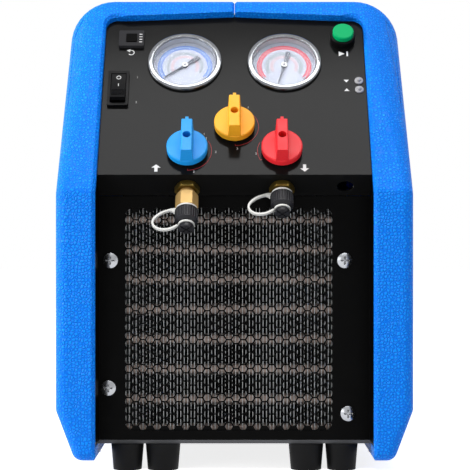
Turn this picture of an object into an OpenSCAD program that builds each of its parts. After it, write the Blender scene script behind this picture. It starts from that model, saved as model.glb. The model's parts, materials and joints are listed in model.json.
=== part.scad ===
// Portable refrigerant recovery machine: two moulded shell halves around a sheet metal
// front, a sloped control panel with gauges and valves, a condenser with its fan and
// a motor driven piston compressor. Millimetres, +Z up, -Y is the front.
// Origin: centre of the footprint, on the floor.

/* [Case] */
// Width over both shell halves
case_w = 252; // [240:1:290]
// Length from the front flange to the rear flange
case_l = 370; // [350:1:430]
// Height from the floor to the top of the shells
case_h = 350; // [340:1:400]
// Height of the shell bottom above the floor
case_bottom = 11; // [8:0.5:14]
// Wall of the shell sides and top
wall = 3.5; // [2.5:0.1:4.5]
// Thickness of the front and rear flanges
rim_t = 6.5; // [5:0.1:8]
// Thickness of the bottom flanges
sill_t = 8; // [6:0.5:10]
// Width of the flange beside the front and rear openings
rim_w = 28; // [25:0.5:31]
// Height of the upright front, where the slope begins
front_h = 201; // [195:1:210]
// Slope of the control panel from the upright
slope_deg = 35; // [30:1:38]
// Rounding of the outer edges
edge_r = 8; // [6:0.5:10]
// Rounding of the top corners seen from the front
top_r = 34; // [24:1:38]
// Height at which the lower sides begin to tuck in
belly_h = 48; // [40:1:70]
// How far the sides tuck in at the bottom
tuck = 11; // [6:0.5:13]
// Width of the beam over the control panel
beam = 15; // [12:0.5:18]
// Rounding of the upper corners of the openings
open_r = 9; // [5:0.5:12]
// Chamfer along the edge of the front opening
rim_chamfer = 2.2; // [1:0.1:3]
// Gap between the two shell halves
seam = 0.3; // [0.2:0.05:0.6]
// How far the bottom flanges stay behind the edge of the front opening
sill_back = 1; // [0.5:0.5:3]

/* [Handle] */
// Width of the moulded well
well_w = 124; // [110:1:130]
// Length of the moulded well
well_l = 140; // [120:1:150]
// Depth of the moulded well
well_d = 62; // [55:1:66]
// Rounding of the corners of the well
well_r = 16; // [8:1:24]
// Middle of the well behind the middle of the case
well_y = 40; // [30:1:60]
// Width of the grip
grip_w = 32; // [26:1:36]
// Height of the grip
grip_h = 27; // [22:1:30]

/* [Sheet metal] */
// Thickness of the painted sheets
sheet_t = 1.5; // [1:0.1:2]
// Thickness of the base plate
base_t = 2.5; // [2:0.1:3]
// Distance along the slope from its foot to the lower edge of the panel
panel_drop = 19; // [16:0.5:21]
// Depth of the bent lower edge of the panel
panel_flange = 25; // [24:0.5:28]
// How far the panel reaches under the flanges
panel_lap = 7; // [5:0.5:9]
// Left margin of the air window
win_l = 18.5; // [17:0.5:20]
// Right margin of the air window
win_r = 26.8; // [25:0.2:28]
// Lower margin of the air window
win_low = 6.7; // [6:0.1:9]
// Upper margin of the air window
win_top = 8.3; // [6:0.1:10]
// Rounding of the air window
win_corner = 7; // [4:0.5:10]
// Hexagon size of the grille across flats
hex_af = 5; // [4:0.1:5.2]
// Distance between the hexagons
hex_pitch = 6; // [5.8:0.1:7]
// Thickness of the grille
grille_t = 1; // [0.8:0.1:1.5]
// Diameter of a cover screw head
cover_head_d = 11; // [9:0.5:12]
// Height of the upper cover screws above the base plate
screw_upper_z = 130; // [120:0.5:134]
// Height of the lower left cover screw above the base plate
screw_left_z = 37.8; // [35:0.2:40]
// Height of the lower right cover screw above the base plate
screw_right_z = 19.3; // [17:0.1:21]

/* [Gauges] */
// Diameter of the gauge rim
gauge_d = 56; // [50:1:58]
// Distance of each gauge from the middle, as a share of half the opening
gauge_across = 0.381; // [0.36:0.001:0.4]
// Height of the gauges, as a share of the panel
gauge_up = 0.713; // [0.69:0.001:0.74]
// Height of the rim over the panel
gauge_h = 3; // [2.8:0.1:5]
// Depth of the dial below the top of the rim
gauge_deep = 7; // [6:0.1:8]
// Depth of the case behind the panel
gauge_back = 24; // [20:1:28]
// Angle of the left needle from straight up
low_needle_deg = 128; // [90:1:140]
// Angle of the right needle from straight up
high_needle_deg = 165; // [90:1:175]

/* [Valves and ports] */
// Diameter of a knob
knob_d = 29.4; // [26:0.2:31]
// Height of a knob over the panel
knob_h = 19.3; // [17:0.1:24]
// Width of the grip bar of a knob
knob_bar = 7.8; // [6:0.2:9]
// Diameter of a valve stem
stem_d = 8; // [6:0.2:9]
// Distance of the outer valves and the ports from the middle
valve_x = 34; // [32:0.5:36]
// Height of the outer valves, as a share of the panel
valve_up = 0.145; // [0.14:0.001:0.16]
// Height of the middle valve, as a share of the panel
mode_up = 0.296; // [0.28:0.001:0.31]
// Depth of the ports below the face of the panel
port_n = 14; // [13:0.2:16]
// Outer diameter of the port thread
port_d = 9; // [8:0.2:10]
// Diameter of a port cap
cap_d = 16.4; // [14:0.2:17]
// Length of the gripped part of a port cap
cap_l = 11.3; // [10:0.1:12]
// Length of the hexagon on the inlet with its neck
adapter_l = 14.5; // [12:0.5:15]
// Length of that neck
adapter_neck = 1.6; // [1:0.1:2.5]
// Extra width of the port nuts over the caps
nut_extra = 2; // [0:0.2:3]
// Length of the port nuts
nut_l = 5; // [4:0.1:6]

/* [Switches] */
// Width of the rocker switch
rocker_w = 15.5; // [14:0.1:17]
// Length of the rocker switch
rocker_l = 33; // [30:0.5:35]
// Rocker switch from the middle, as a share of half the opening
rocker_across = 0.878; // [0.86:0.001:0.9]
// Height of the rocker switch, as a share of the panel
rocker_up = 0.534; // [0.51:0.001:0.56]
// Tilt of the rocker to each side
rocker_deg = 10; // [6:1:12]
// Width of the circuit breaker
breaker_w = 19; // [17:0.5:20]
// Height of the circuit breaker
breaker_h = 15.5; // [14:0.5:17]
// Circuit breaker from the middle, as a share of half the opening
breaker_across = 0.796; // [0.78:0.001:0.82]
// Height of the circuit breaker, as a share of the panel
breaker_up = 0.865; // [0.85:0.001:0.88]
// Diameter of the start button
start_d = 15.7; // [14:0.1:17]
// Start button from the middle, as a share of half the opening
start_across = 0.837; // [0.82:0.001:0.86]
// Height of the start button, as a share of the panel
start_up = 0.872; // [0.84:0.001:0.9]
// Diameter of a lamp
lamp_d = 6.5; // [5:0.1:7]
// Lamps from the middle, as a share of half the opening
lamp_across = 0.944; // [0.93:0.001:0.95]
// Height of the lower lamp, as a share of the panel
lamp_up = 0.534; // [0.5:0.001:0.56]
// Distance between the lamps
lamp_pitch = 8.6; // [8:0.1:10]

/* [Condenser and fan] */
// Diameter of a condenser tube
tube_d = 8.5; // [7:0.1:9.5]
// Distance between the condenser tubes
tube_pitch = 22; // [20:0.5:24]
// Distance from the base plate to the first tube
tube_edge = 6; // [5.5:0.1:8]
// Depth of the fins
fin_d = 22; // [18:0.5:26]
// Distance between the fins
fin_pitch = 2.5; // [2.4:0.1:4]
// Thickness of a fin
fin_t = 0.4; // [0.3:0.05:0.6]
// Diameter of the fan
fan_d = 136; // [120:1:138]
// Number of blades
fan_blades = 5; // [4:1:6]
// Depth of the fan ring
shroud_d = 26; // [24:1:30]

/* [Compressor] */
// Diameter of the motor
motor_d = 92; // [80:1:98]
// Length of the motor
motor_l = 100; // [90:1:110]
// Length of the crankcase
crank_l = 70; // [64:1:76]
// Width and height of the crankcase
crank_w = 78; // [70:1:84]
// Diameter of a cylinder barrel
barrel_d = 50; // [44:1:54]
// Length of a cylinder barrel
barrel_l = 36; // [30:1:40]
// Diameter of the motor shaft
shaft_d = 10; // [8:0.5:12]
// Height of the rubber mounts
mount_h = 12; // [8:0.5:16]

/* [Feet] */
// Bottom diameter of an outer foot
foot_d = 20.6; // [18:0.2:21]
// Extra diameter of an inner foot
foot_inner_extra = 1.6; // [0:0.2:2]
// Taper of a foot from bottom to top
foot_taper = 3.2; // [2:0.2:3.4]
// Outer feet in from the edge of the front opening
foot_in = 20.2; // [19:0.2:24]
// Distance from an outer foot to its inner foot
foot_pitch = 25.8; // [25:0.2:28]
// Feet from the front and rear ends
foot_end = 42; // [40:1:60]

/* [Hidden] */
$fn = 48;
// Running fit of turning and sliding pieces, on the radius
fit = 0.05;
// Room between loose pieces and their cut-outs
room = 0.3;
// Overshoot of cuts
over = 1;
// Step that keeps two cuts from sharing a face
step = 0.1;

yf = -case_l / 2;
yr = case_l / 2;
open_w = case_w - 2 * rim_w;
half_open = open_w / 2;
base_z = case_bottom + sill_t;
base_top = base_z + base_t;

// Slope: measured along its face from the fold with the upright front
slope_len = (case_h - front_h) / cos(slope_deg);
open_top = slope_len - beam;
in_y = yf + rim_t * cos(slope_deg);
in_z = front_h - rim_t * sin(slope_deg);
p0_y = in_y + panel_drop * sin(slope_deg);
p0_z = in_z + panel_drop * cos(slope_deg);
face_len = open_top - panel_drop;
panel_len = face_len + panel_lap;
panel_w = open_w + 2 * panel_lap;

// Places on the panel: across from the middle and up from its lower edge
gauge_x = gauge_across * half_open;
gauge_u = gauge_up * face_len;
valve_u = valve_up * face_len;
mode_u = mode_up * face_len;
rocker_x = rocker_across * half_open;
rocker_u = rocker_up * face_len;
breaker_x = breaker_across * half_open;
breaker_u = breaker_up * face_len;
start_x = start_across * half_open;
start_u = start_up * face_len;
lamp_x = lamp_across * half_open;
lamp_u = lamp_up * face_len;

// Front cover and window
cover_y = p0_y + panel_flange * cos(slope_deg);
cover_top = p0_z - panel_flange * sin(slope_deg) - room;
cover_w = open_w + 2 * sheet_t;
win_x0 = win_l - half_open;
win_x1 = half_open - win_r;
win_z0 = base_top + win_low;
win_z1 = cover_top - win_top;
grille_lap = 3;
grille_y = cover_y + sheet_t;
cover_screw_d = 4;
cover_head_h = 0.31 * cover_head_d;
cover_screw_at = [
    [win_x0 - 0.56 * win_l, base_top + screw_upper_z],
    [win_x1 + 0.32 * win_r, base_top + screw_upper_z],
    [win_x0 - 0.64 * win_l, base_top + screw_left_z],
    [win_x1 + 0.41 * win_r, base_top + screw_right_z]
];

// Condenser, between two side plates
cond_lap = grille_lap + 1;
cond_x0 = win_x0 - cond_lap;
cond_x1 = win_x1 + cond_lap;
cond_flange = 14;
fin_gap = 3;
cond_y0 = grille_y + grille_t + fin_gap;
cond_y1 = cond_y0 + fin_d;
tube_y = (cond_y0 + cond_y1) / 2;
tube_n = floor((cover_top - base_top - 2 * tube_edge) / tube_pitch) + 1;
cond_z1 = base_top + 2 * tube_edge + (tube_n - 1) * tube_pitch;
tube_out = 3;
fin_margin = 1.5;

// Fan and compressor on one axis
fan_x = (cond_x0 + cond_x1) / 2;
fan_z = (base_top + cond_z1) / 2;
fan_gap = 2.5;
shroud_r = fan_d / 2 + fan_gap;
hub_d = 34;
hub_l = 18;
hub_cap = 3;
fan_y0 = cond_y1 + sheet_t + 3;
motor_y0 = cond_y1 + shroud_d + 10;
crank_y0 = motor_y0 + motor_l;
crank_y1 = crank_y0 + crank_l;
cradle_w = 110;
cradle_t = 4;
cradle_z = base_top + mount_h;
saddle_t = 8;
mount_d = 20;
mount_inset = 14;
head_t = 12;

// Port stations, measured down from the bent edge of the panel
nut_collar = 1;
ring_t = 1.3;
ring_gap = 0.2;
inlet_cap_z = nut_l + adapter_l + ring_t + 2 * ring_gap;
outlet_cap_z = nut_l + nut_collar + ring_t + 2 * ring_gap;
cap_neck = 2.6;
cap_end = 3;
cap_floor = 1;
adapter_web = 3.5;
neck_d = 9;
tether_w = 2;
tether_t = 1.3;
loop_x = 15.5;

// Valve block behind the panel
block_w = 2 * valve_x + 28;
block_u0 = 9;
block_u1 = mode_u + 15;
block_n0 = 8;
block_n1 = 36;

rear_open_h = case_h - 50;
rear_screw_at = [for (s = [-1, 1], z = [base_top + 70, rear_open_h - 60]) [s * (half_open + 4), z]];
rear_head_d = 7;
rear_head_h = 3.2;
inlet_plug_x = half_open - 40;
inlet_plug_z = base_top + 40;
shell_screw_d = 4;
shell_head_d = 7;
shell_head_h = 3;
sill_x = half_open + sill_back;
shell_screw_x = (sill_x + case_w / 2 - tuck - edge_r) / 2;
shell_screw_at = [for (s = [-1, 1], k = [-3, -1, 1, 3]) [s * shell_screw_x, k * 0.108 * case_l]];
foot_x = half_open - foot_in;
foot_inner_x = foot_x - foot_pitch;
foot_at = [for (e = [-1, 1], s = [-1, 1]) [s * foot_x, e * (case_l / 2 - foot_end)]];
foot_inner_at = [for (e = [-1, 1], s = [-1, 1]) [s * foot_inner_x, e * (case_l / 2 - foot_end)]];
foot_screw_d = 4;
foot_head_d = 9;
foot_head_h = 3;

blue = "#1f7fe8";
panel_grey = "#3b3c3f";
black = "#17181a";
brass = "#d8b060";
copper = "#b8704a";
zinc = "#c9ccd0";
steel = "#9aa0a6";

// Places: the slope, the panel face and the two ports

// x across, y up the slope, z out of the shell face
module on_slope() {
    translate([0, yf, front_h]) rotate([90 - slope_deg, 0, 0]) children();
}

// x across, y up from the lower edge of the panel, z out of its face
module on_panel(x = 0, u = 0, n = 0) {
    translate([0, p0_y, p0_z]) rotate([90 - slope_deg, 0, 0]) translate([x, u, n]) children();
}

// z down along the port axis from the bent edge, x across
module on_port(x) {
    on_panel(x, 0, -port_n) rotate([90, 0, 0]) children();
}

// z along the fan axis towards the rear
module on_axis(y) {
    translate([fan_x, y, fan_z]) rotate([-90, 0, 0]) children();
}

// Point given in the panel's own directions
function panel_pt(x, u, n) = [
    x,
    p0_y + u * sin(slope_deg) - n * cos(slope_deg),
    p0_z + u * cos(slope_deg) + n * sin(slope_deg)
];

// Shared shapes

module rounded_rect(w, h, r) {
    square([w - 2 * r, h], center = true);
    square([w, h - 2 * r], center = true);
    for (x = [-1, 1], y = [-1, 1]) translate([x * (w / 2 - r), y * (h / 2 - r)]) circle(r);
}

module ring(r_out, r_in, h) {
    difference() {
        cylinder(h = h, r = r_out);
        translate([0, 0, -over]) cylinder(h = h + 2 * over, r = r_in);
    }
}

// Domed cross-slot screw, head on z = 0 and shank below
module pan_screw(head_d, head_h, shank_d, length) {
    dome = 0.9 * head_d;
    slot = head_d * 0.11;
    difference() {
        intersection() {
            cylinder(h = head_h, d = head_d);
            translate([0, 0, head_h - dome]) sphere(dome);
        }
        for (a = [0, 90]) rotate(a) translate([-head_d * 0.27, -slot / 2, head_h * 0.45])
            cube([head_d * 0.54, slot, head_h]);
    }
    translate([0, 0, -length]) cylinder(h = length, d = shank_d);
}

// Round tube swept along points, as a closed solid
function unit(v) = v / norm(v);
function tangent(p, i) = unit(p[min(i + 1, len(p) - 1)] - p[max(i - 1, 0)]);
function carried(v, t) = unit(v - t * (v * t));
function normals(p, i, v) = i == len(p) ? [] :
    let (w = carried(v, tangent(p, i))) concat([w], normals(p, i + 1, w));
function curve_pt(p, i, f) =
    let (a = p[max(i - 1, 0)], b = p[i], c = p[i + 1], d = p[min(i + 2, len(p) - 1)])
    0.5 * (2 * b + (c - a) * f + (2 * a - 5 * b + 4 * c - d) * f * f + (3 * b - a - 3 * c + d) * f * f * f);
// Smooth curve through the inner points, with a straight run to each end
function route(p, k) = let (q = [for (i = [1 : len(p) - 2]) p[i]]) concat([p[0]],
    [for (i = [0 : len(q) - 2], j = [0 : k - 1]) curve_pt(q, i, j / k)], [q[len(q) - 1], p[len(p) - 1]]);

module swept_tube(p, r, side, sides = 10) {
    n = normals(p, 0, side);
    last = len(p) - 1;
    points = [for (i = [0 : last], j = [0 : sides - 1])
        let (a = 360 * j / sides, b = cross(tangent(p, i), n[i])) p[i] + r * (cos(a) * n[i] + sin(a) * b)];
    walls = [for (i = [0 : last - 1], j = [0 : sides - 1], k = [0, 1])
        let (a = i * sides + j, b = i * sides + (j + 1) % sides)
        k == 0 ? [a, a + sides, b] : [b, a + sides, b + sides]];
    caps = [[for (j = [0 : sides - 1]) j], [for (j = [sides - 1 : -1 : 0]) last * sides + j]];
    polyhedron(points, concat(walls, caps));
}

// Shell halves

module rounded_disc() {
    rotate([90, 0, 0]) rotate_extrude($fn = 40) translate([top_r - edge_r, 0]) circle(edge_r, $fn = 32);
}

module outer_form() {
    side = case_w / 2 - edge_r;
    end = case_l / 2 - edge_r;
    fold_z = front_h - edge_r * (1 - cos(slope_deg)) / sin(slope_deg);
    top_y = yf + (edge_r + (case_h - edge_r - front_h) * sin(slope_deg)) / cos(slope_deg);
    hull() for (s = [-1, 1]) {
        for (e = [-1, 1]) {
            translate([s * (side - tuck), e * end, case_bottom + edge_r]) sphere(edge_r, $fn = 32);
            translate([s * side, e * end, belly_h]) sphere(edge_r, $fn = 32);
        }
        translate([s * side, -end, fold_z]) sphere(edge_r, $fn = 32);
        for (y = [top_y, end]) translate([s * (case_w / 2 - top_r), y, case_h - top_r]) rounded_disc();
    }
}

// Hollow of the case: its side profile crossed with its front profile
module cavity() {
    top = case_h - wall;
    half = case_w / 2 - wall;
    corner = top_r - wall;
    front = yf + rim_t;
    rear = yr - rim_t;
    intersection() {
        rotate([90, 0, 90]) linear_extrude(case_w, center = true) polygon([
            [front, base_z],
            [front, in_z + (front - in_y) / tan(slope_deg)],
            [in_y + (top - in_z) * tan(slope_deg), top],
            [rear, top],
            [rear, base_z]
        ]);
        rotate([90, 0, 0]) linear_extrude(case_l, center = true) {
            polygon([[tuck - half, base_z], [half - tuck, base_z], [half, belly_h], [half, top - corner],
                [-half, top - corner], [-half, belly_h]]);
            translate([corner - half, belly_h]) square([2 * (half - corner), top - belly_h]);
            for (s = [-1, 1]) translate([s * (half - corner), top - corner]) circle(corner);
        }
    }
}

module well_block(w, l, r, depth) {
    translate([0, well_y, case_h - depth]) linear_extrude(depth + edge_r) rounded_rect(w, l, r);
}

module grip() {
    translate([0, well_y, case_h - grip_h / 2]) rotate([90, 0, 0])
        linear_extrude(well_l + 2 * wall, center = true) rounded_rect(grip_w, grip_h, grip_h / 3);
}

// Window of the slope, rising a little to the middle
module slope_window() {
    rise = 4;
    low = -3 * edge_r;
    translate([0, (open_top + low) / 2]) rounded_rect(open_w - 2 * step, open_top - low, open_r);
    polygon([[2 * open_r - open_w / 2, open_top - over], [open_w / 2 - 2 * open_r, open_top - over],
        [open_w / 2 - 2 * open_r, open_top], [0, open_top + rise], [2 * open_r - open_w / 2, open_top]]);
}

module front_opening() {
    bar = (rim_chamfer + over) * sqrt(2);
    edge_x = open_w / 2 - step;
    corner_r = open_r + step;
    on_slope() {
        translate([0, 0, -rim_t - over]) linear_extrude(rim_t + 3 * over) slope_window();
        for (s = [-1, 1]) {
            translate([s * (edge_x - over), (open_top - open_r) / 2, 0]) rotate([0, 45, 0])
                cube([bar, open_top - open_r, bar], center = true);
            translate([s * (edge_x - open_r), open_top - open_r, -rim_chamfer - over])
                cylinder(h = rim_chamfer + 2 * over, r1 = corner_r - over,
                    r2 = corner_r + rim_chamfer + over);
        }
    }
    translate([-open_w / 2, yf - over, -over]) cube([open_w, rim_t + 2 * over, front_h + 3 * over]);
    for (s = [-1, 1]) translate([s * (open_w / 2 - over), yf, front_h / 2]) rotate([0, 0, 45])
        cube([bar, bar, front_h], center = true);
}

module rear_opening() {
    translate([0, yr + over, rear_open_h / 2 - over]) rotate([90, 0, 0])
        linear_extrude(rim_t + 2 * over) rounded_rect(open_w, rear_open_h + 2 * over, open_r);
}

module seam_groove() {
    bar = 3;
    translate([0, 0, case_h]) rotate([0, 45, 0]) cube([bar, case_l, bar], center = true);
    on_slope() translate([0, slope_len, 0]) rotate([0, 45, 0]) cube([bar, 4 * beam, bar], center = true);
    translate([0, yr, case_h]) rotate([0, 0, 45]) cube([bar, bar, case_h / 2], center = true);
}

module half_shell(s) {
    difference() {
        outer_form();
        difference() {
            cavity();
            well_block(well_w + 2 * wall, well_l + 2 * wall, well_r + wall, well_d + wall);
        }
        difference() {
            well_block(well_w, well_l, well_r, well_d);
            grip();
        }
        front_opening();
        rear_opening();
        translate([-sill_x, yf + rim_t / 2, 0]) cube([2 * sill_x, case_l - rim_t, base_z + over]);
        seam_groove();
        translate([s > 0 ? seam / 2 - case_w : -seam / 2, yf - over, 0])
            cube([case_w, case_l + 2 * over, case_h + over]);
        for (p = shell_screw_at) translate([p[0], p[1], 0])
            cylinder(h = base_z + over, d = shell_screw_d + 2 * room);
        for (p = rear_screw_at) translate([p[0], yr, p[1]]) rotate([90, 0, 0]) {
            translate([0, 0, -over]) cylinder(h = rear_head_h + over, d = rear_head_d + 2 * room);
            cylinder(h = rim_t + over, d = shell_screw_d + 2 * room);
        }
    }
}

module left_shell() {
    color(blue) half_shell(-1);
}

module right_shell() {
    color(blue) half_shell(1);
}

// Sheet metal

module base_plate() {
    w = case_w - 2 * (tuck + wall + room);
    color(steel) difference() {
        translate([-w / 2, cover_y, base_z]) cube([w, yr - rim_t - cover_y, base_t]);
        for (p = shell_screw_at) translate([p[0], p[1], 0]) cylinder(h = case_h, d = shell_screw_d + 2 * fit);
        for (p = concat(foot_at, foot_inner_at)) translate([p[0], p[1], 0])
            cylinder(h = case_h, d = foot_screw_d + 2 * fit);
    }
}

module front_cover() {
    side_z = in_z + (yf + rim_t - in_y) / tan(slope_deg);
    h = cover_top - base_top;
    win_w = win_x1 - win_x0;
    win_h = win_z1 - win_z0;
    color(black) {
        translate([0, cover_y + sheet_t, 0]) rotate([90, 0, 0]) linear_extrude(sheet_t) difference() {
            translate([-cover_w / 2, base_top]) square([cover_w, h]);
            translate([(win_x0 + win_x1) / 2, (win_z0 + win_z1) / 2]) rounded_rect(win_w, win_h, win_corner);
            for (p = cover_screw_at) translate(p) circle(d = cover_screw_d + 2 * room);
        }
        for (s = [-1, 1]) translate([s * (open_w + sheet_t) / 2, 0, 0]) rotate([90, 0, 90])
            linear_extrude(sheet_t, center = true) polygon([
                [cover_y + sheet_t, base_top],
                [yf + rim_t, base_top],
                [yf + rim_t, side_z],
                [p0_y, p0_z],
                [cover_y, cover_top + room],
                [cover_y + sheet_t, cover_top]
            ]);
    }
}

module front_grille() {
    x0 = win_x0 - grille_lap;
    z0 = win_z0 - grille_lap;
    w = win_x1 - win_x0 + 2 * grille_lap;
    h = win_z1 - win_z0 + 2 * grille_lap;
    edge = hex_pitch + 2;
    column = hex_pitch * cos(30);
    cols = floor((w - edge) / column);
    rows = floor((h - edge) / hex_pitch);
    color(black) translate([x0 + w / 2, grille_y + grille_t, z0 + h / 2]) rotate([90, 0, 0])
        linear_extrude(grille_t) difference() {
            square([w, h], center = true);
            for (c = [0 : cols], r = [0 : rows - c % 2])
                translate([(c - cols / 2) * column, (r - (rows - c % 2) / 2) * hex_pitch])
                    circle(d = hex_af / cos(30), $fn = 6);
        }
}

module panel_holes() {
    for (s = [-1, 1]) translate([s * gauge_x, gauge_u]) circle(d = gauge_d - 5 + 2 * room);
    for (p = [[-valve_x, valve_u], [0, mode_u], [valve_x, valve_u]]) translate(p) circle(d = stem_d + 2);
    translate([-rocker_x, rocker_u]) square([rocker_w - 2, rocker_l - 2], center = true);
    translate([-breaker_x, breaker_u]) square([breaker_w - 3, breaker_h - 3], center = true);
    translate([start_x, start_u]) circle(d = start_d + 1.5);
    for (i = [0, 1]) translate([lamp_x, lamp_u + i * lamp_pitch]) circle(d = lamp_d - 2);
}

module control_panel() {
    spare_x = open_w / 2 - 18.5;
    spare_d = 12;
    color(panel_grey) {
        on_panel(0, 0, -sheet_t) linear_extrude(sheet_t) difference() {
            translate([-panel_w / 2, sheet_t]) square([panel_w, panel_len - sheet_t]);
            panel_holes();
        }
        on_panel() rotate([90, 0, 0]) translate([0, 0, -sheet_t]) linear_extrude(sheet_t) difference() {
            translate([-open_w / 2, -panel_flange]) square([open_w, panel_flange]);
            for (x = [-valve_x, valve_x]) translate([x, -port_n]) circle(d = port_d + 2 * room);
            translate([spare_x, -port_n]) circle(d = spare_d);
        }
    }
}

module rear_panel() {
    top = rear_open_h + panel_lap;
    slot_l = 70;
    slot_h = 5;
    slot_r = 2;
    slot_pitch = 10;
    slot_z = rear_open_h - 18.5;
    color(panel_grey) translate([0, yr - rim_t, 0]) rotate([90, 0, 0]) linear_extrude(sheet_t) difference() {
        translate([-panel_w / 2, base_top]) square([panel_w, top - base_top]);
        for (s = [-1, 1], i = [0 : 6]) translate([s * (slot_l / 2 + 5), slot_z - i * slot_pitch])
            rounded_rect(slot_l, slot_h, slot_r);
        for (p = rear_screw_at) translate(p) circle(d = shell_screw_d + 2 * fit);
        translate([inlet_plug_x, inlet_plug_z]) square([plug_w - 2, plug_h - 2], center = true);
    }
}

// Fasteners

module cover_screws() {
    color(zinc) for (p = cover_screw_at) translate([p[0], cover_y, p[1]]) rotate([90, 0, 0])
        pan_screw(cover_head_d, cover_head_h, cover_screw_d, 2 * sheet_t + 4);
}

module rear_screws() {
    color(zinc) for (p = rear_screw_at) translate([p[0], yr - rear_head_h, p[1]]) rotate([-90, 0, 0])
        pan_screw(rear_head_d, rear_head_h - 0.2, shell_screw_d, rim_t - rear_head_h + sheet_t + 4);
}

module shell_screws() {
    color(zinc) for (p = shell_screw_at) translate([p[0], p[1], case_bottom]) rotate([180, 0, 0])
        pan_screw(shell_head_d, shell_head_h, shell_screw_d, sill_t + base_t);
}

module foot(d) {
    difference() {
        cylinder(h = base_z, d1 = d, d2 = d + foot_taper);
        translate([0, 0, -over]) cylinder(h = base_z + 2 * over, d = foot_screw_d + 2 * room);
        translate([0, 0, -over]) cylinder(h = base_z / 2 + over, d = foot_head_d + 2);
    }
}

module feet() {
    color(black) {
        for (p = foot_at) translate(p) foot(foot_d);
        for (p = foot_inner_at) translate(p) foot(foot_d + foot_inner_extra);
    }
}

module foot_screws() {
    color(zinc) for (p = concat(foot_at, foot_inner_at)) translate([p[0], p[1], base_z / 2])
        rotate([180, 0, 0]) pan_screw(foot_head_d, foot_head_h, foot_screw_d, base_z / 2 + base_t);
}

// Gauges: a cup through the panel, a dial on its ledge, a lens and a rim over it

gauge_r = gauge_d / 2 - 2.5;
gauge_rim = gauge_h - 2.3;
gauge_lens_t = 1.2;
dial_t = 0.8;
gauge_face = gauge_h - gauge_deep - dial_t;
pin_d = 2;

module gauge_case(x) {
    bore = gauge_r - 1.3;
    color(zinc) on_panel(x, gauge_u) difference() {
        translate([0, 0, -gauge_back]) cylinder(h = gauge_back + gauge_rim, r = gauge_r);
        translate([0, 0, gauge_face]) cylinder(h = gauge_h - gauge_face, r = bore);
        translate([0, 0, 2 - gauge_back]) ring(bore - 2, 3.5, gauge_back + gauge_face);
        translate([0, 0, gauge_face - over]) cylinder(h = 2 * over, r = 4);
        translate([0, 0, 2 - gauge_back]) cylinder(h = gauge_back + gauge_h, d = pin_d + 2 * fit);
    }
}

module gauge_bezel(x) {
    r = gauge_d / 2;
    lip_r = gauge_r - 1.8;
    seat = gauge_rim + gauge_lens_t;
    color(zinc) on_panel(x, gauge_u) rotate_extrude($fn = 96) polygon([
        [gauge_r + fit, 0], [r - 0.6, 0], [r, 0.6], [r, gauge_h - 1.8], [r - 0.5, gauge_h - 0.6],
        [r - 1.6, gauge_h], [lip_r + 0.8, gauge_h], [lip_r, gauge_h - 0.5], [lip_r, seat],
        [gauge_r + fit, seat]
    ]);
}

module gauge_lens(x) {
    color("#dfe8ee", 0.35) on_panel(x, gauge_u, gauge_rim) cylinder(h = gauge_lens_t, r = gauge_r - 0.1);
}

module gauge_dial(x) {
    color("white") on_panel(x, gauge_u, gauge_face) ring(gauge_r - 1.5, 1.6, dial_t);
}

module gauge_needle(x, angle) {
    long = gauge_r - 7;
    tail = 7;
    n = gauge_face + dial_t + 0.9;
    color(black) on_panel(x, gauge_u, n) rotate(angle) {
        linear_extrude(0.6) polygon([[-1.3, -tail], [1.3, -tail], [0.9, 0],
            [0.25, long], [-0.25, long], [-0.9, 0]]);
        translate([0, 0, -0.5]) cylinder(h = 1.8, d = 4.4);
        translate([0, 0, -n - gauge_back / 2]) cylinder(h = n + gauge_back / 2, d = pin_d);
    }
}

// Valves

knob_low = 2;
knob_rim = 5.5;
knob_web = 1.5;
knob_screw_d = 3;
stem_top = knob_h / 2;
stem_floor = 12;

module knob(x, u, tint) {
    r = knob_d / 2;
    reach = r - 0.6;
    screw_hole = 5.8;
    disc = knob_rim + 1.6;
    color(tint) on_panel(x, u) difference() {
        union() {
            rotate_extrude($fn = 72) polygon([[0, knob_low], [r, knob_low], [r, disc - 0.7],
                [r - 0.7, disc], [0, disc]]);
            translate([0, reach, 0]) rotate([90, 0, 0]) linear_extrude(2 * reach) polygon([
                [-knob_bar / 2 - 0.8, knob_rim], [knob_bar / 2 + 0.8, knob_rim],
                [knob_bar / 2, knob_h - 0.5], [knob_bar / 2 - 0.5, knob_h],
                [0.5 - knob_bar / 2, knob_h], [-knob_bar / 2, knob_h - 0.5]
            ]);
            translate([-1.1, reach - over, knob_h - 4]) cube([2.2, 2 + over, 4]);
        }
        translate([0, 0, knob_low - over]) cylinder(h = stem_top - knob_low + over, d = stem_d + 2 * fit);
        cylinder(h = knob_h, d = knob_screw_d + 2 * room);
        translate([0, 0, stem_top + knob_web]) cylinder(h = knob_h, d = screw_hole);
    }
}

// Stem with its knob screw
module stem(x, u) {
    inner = block_n1 - stem_floor;
    color(brass) on_panel(x, u) {
        difference() {
            translate([0, 0, -inner]) cylinder(h = inner + stem_top, d = stem_d);
            translate([0, 0, -over]) cylinder(h = knob_h, d = knob_screw_d + 2 * fit);
        }
        translate([0, 0, stem_top + knob_web]) pan_screw(4.6, 2.2, knob_screw_d, stem_top);
    }
}

module valve_block() {
    color(brass) difference() {
        union() {
            on_panel(-block_w / 2, block_u0, -block_n1)
                cube([block_w, block_u1 - block_u0, block_n1 - block_n0]);
            for (p = [[-valve_x, valve_u], [0, mode_u], [valve_x, valve_u]])
                on_panel(p[0], p[1], -block_n0 - over)
                    cylinder(h = block_n0 + over - sheet_t, d = 2.25 * stem_d);
        }
        for (p = [[-valve_x, valve_u], [0, mode_u], [valve_x, valve_u]])
            on_panel(p[0], p[1], stem_floor - block_n1) cylinder(h = block_n1, d = stem_d + 2 * fit);
    }
}

// Ports

module fitting(x, length) {
    color(brass) on_port(x) translate([0, 0, -block_u0]) cylinder(h = block_u0 + length, d = port_d);
}

module inlet_fitting() {
    fitting(-valve_x, nut_l + adapter_l - adapter_web - room);
}

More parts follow.
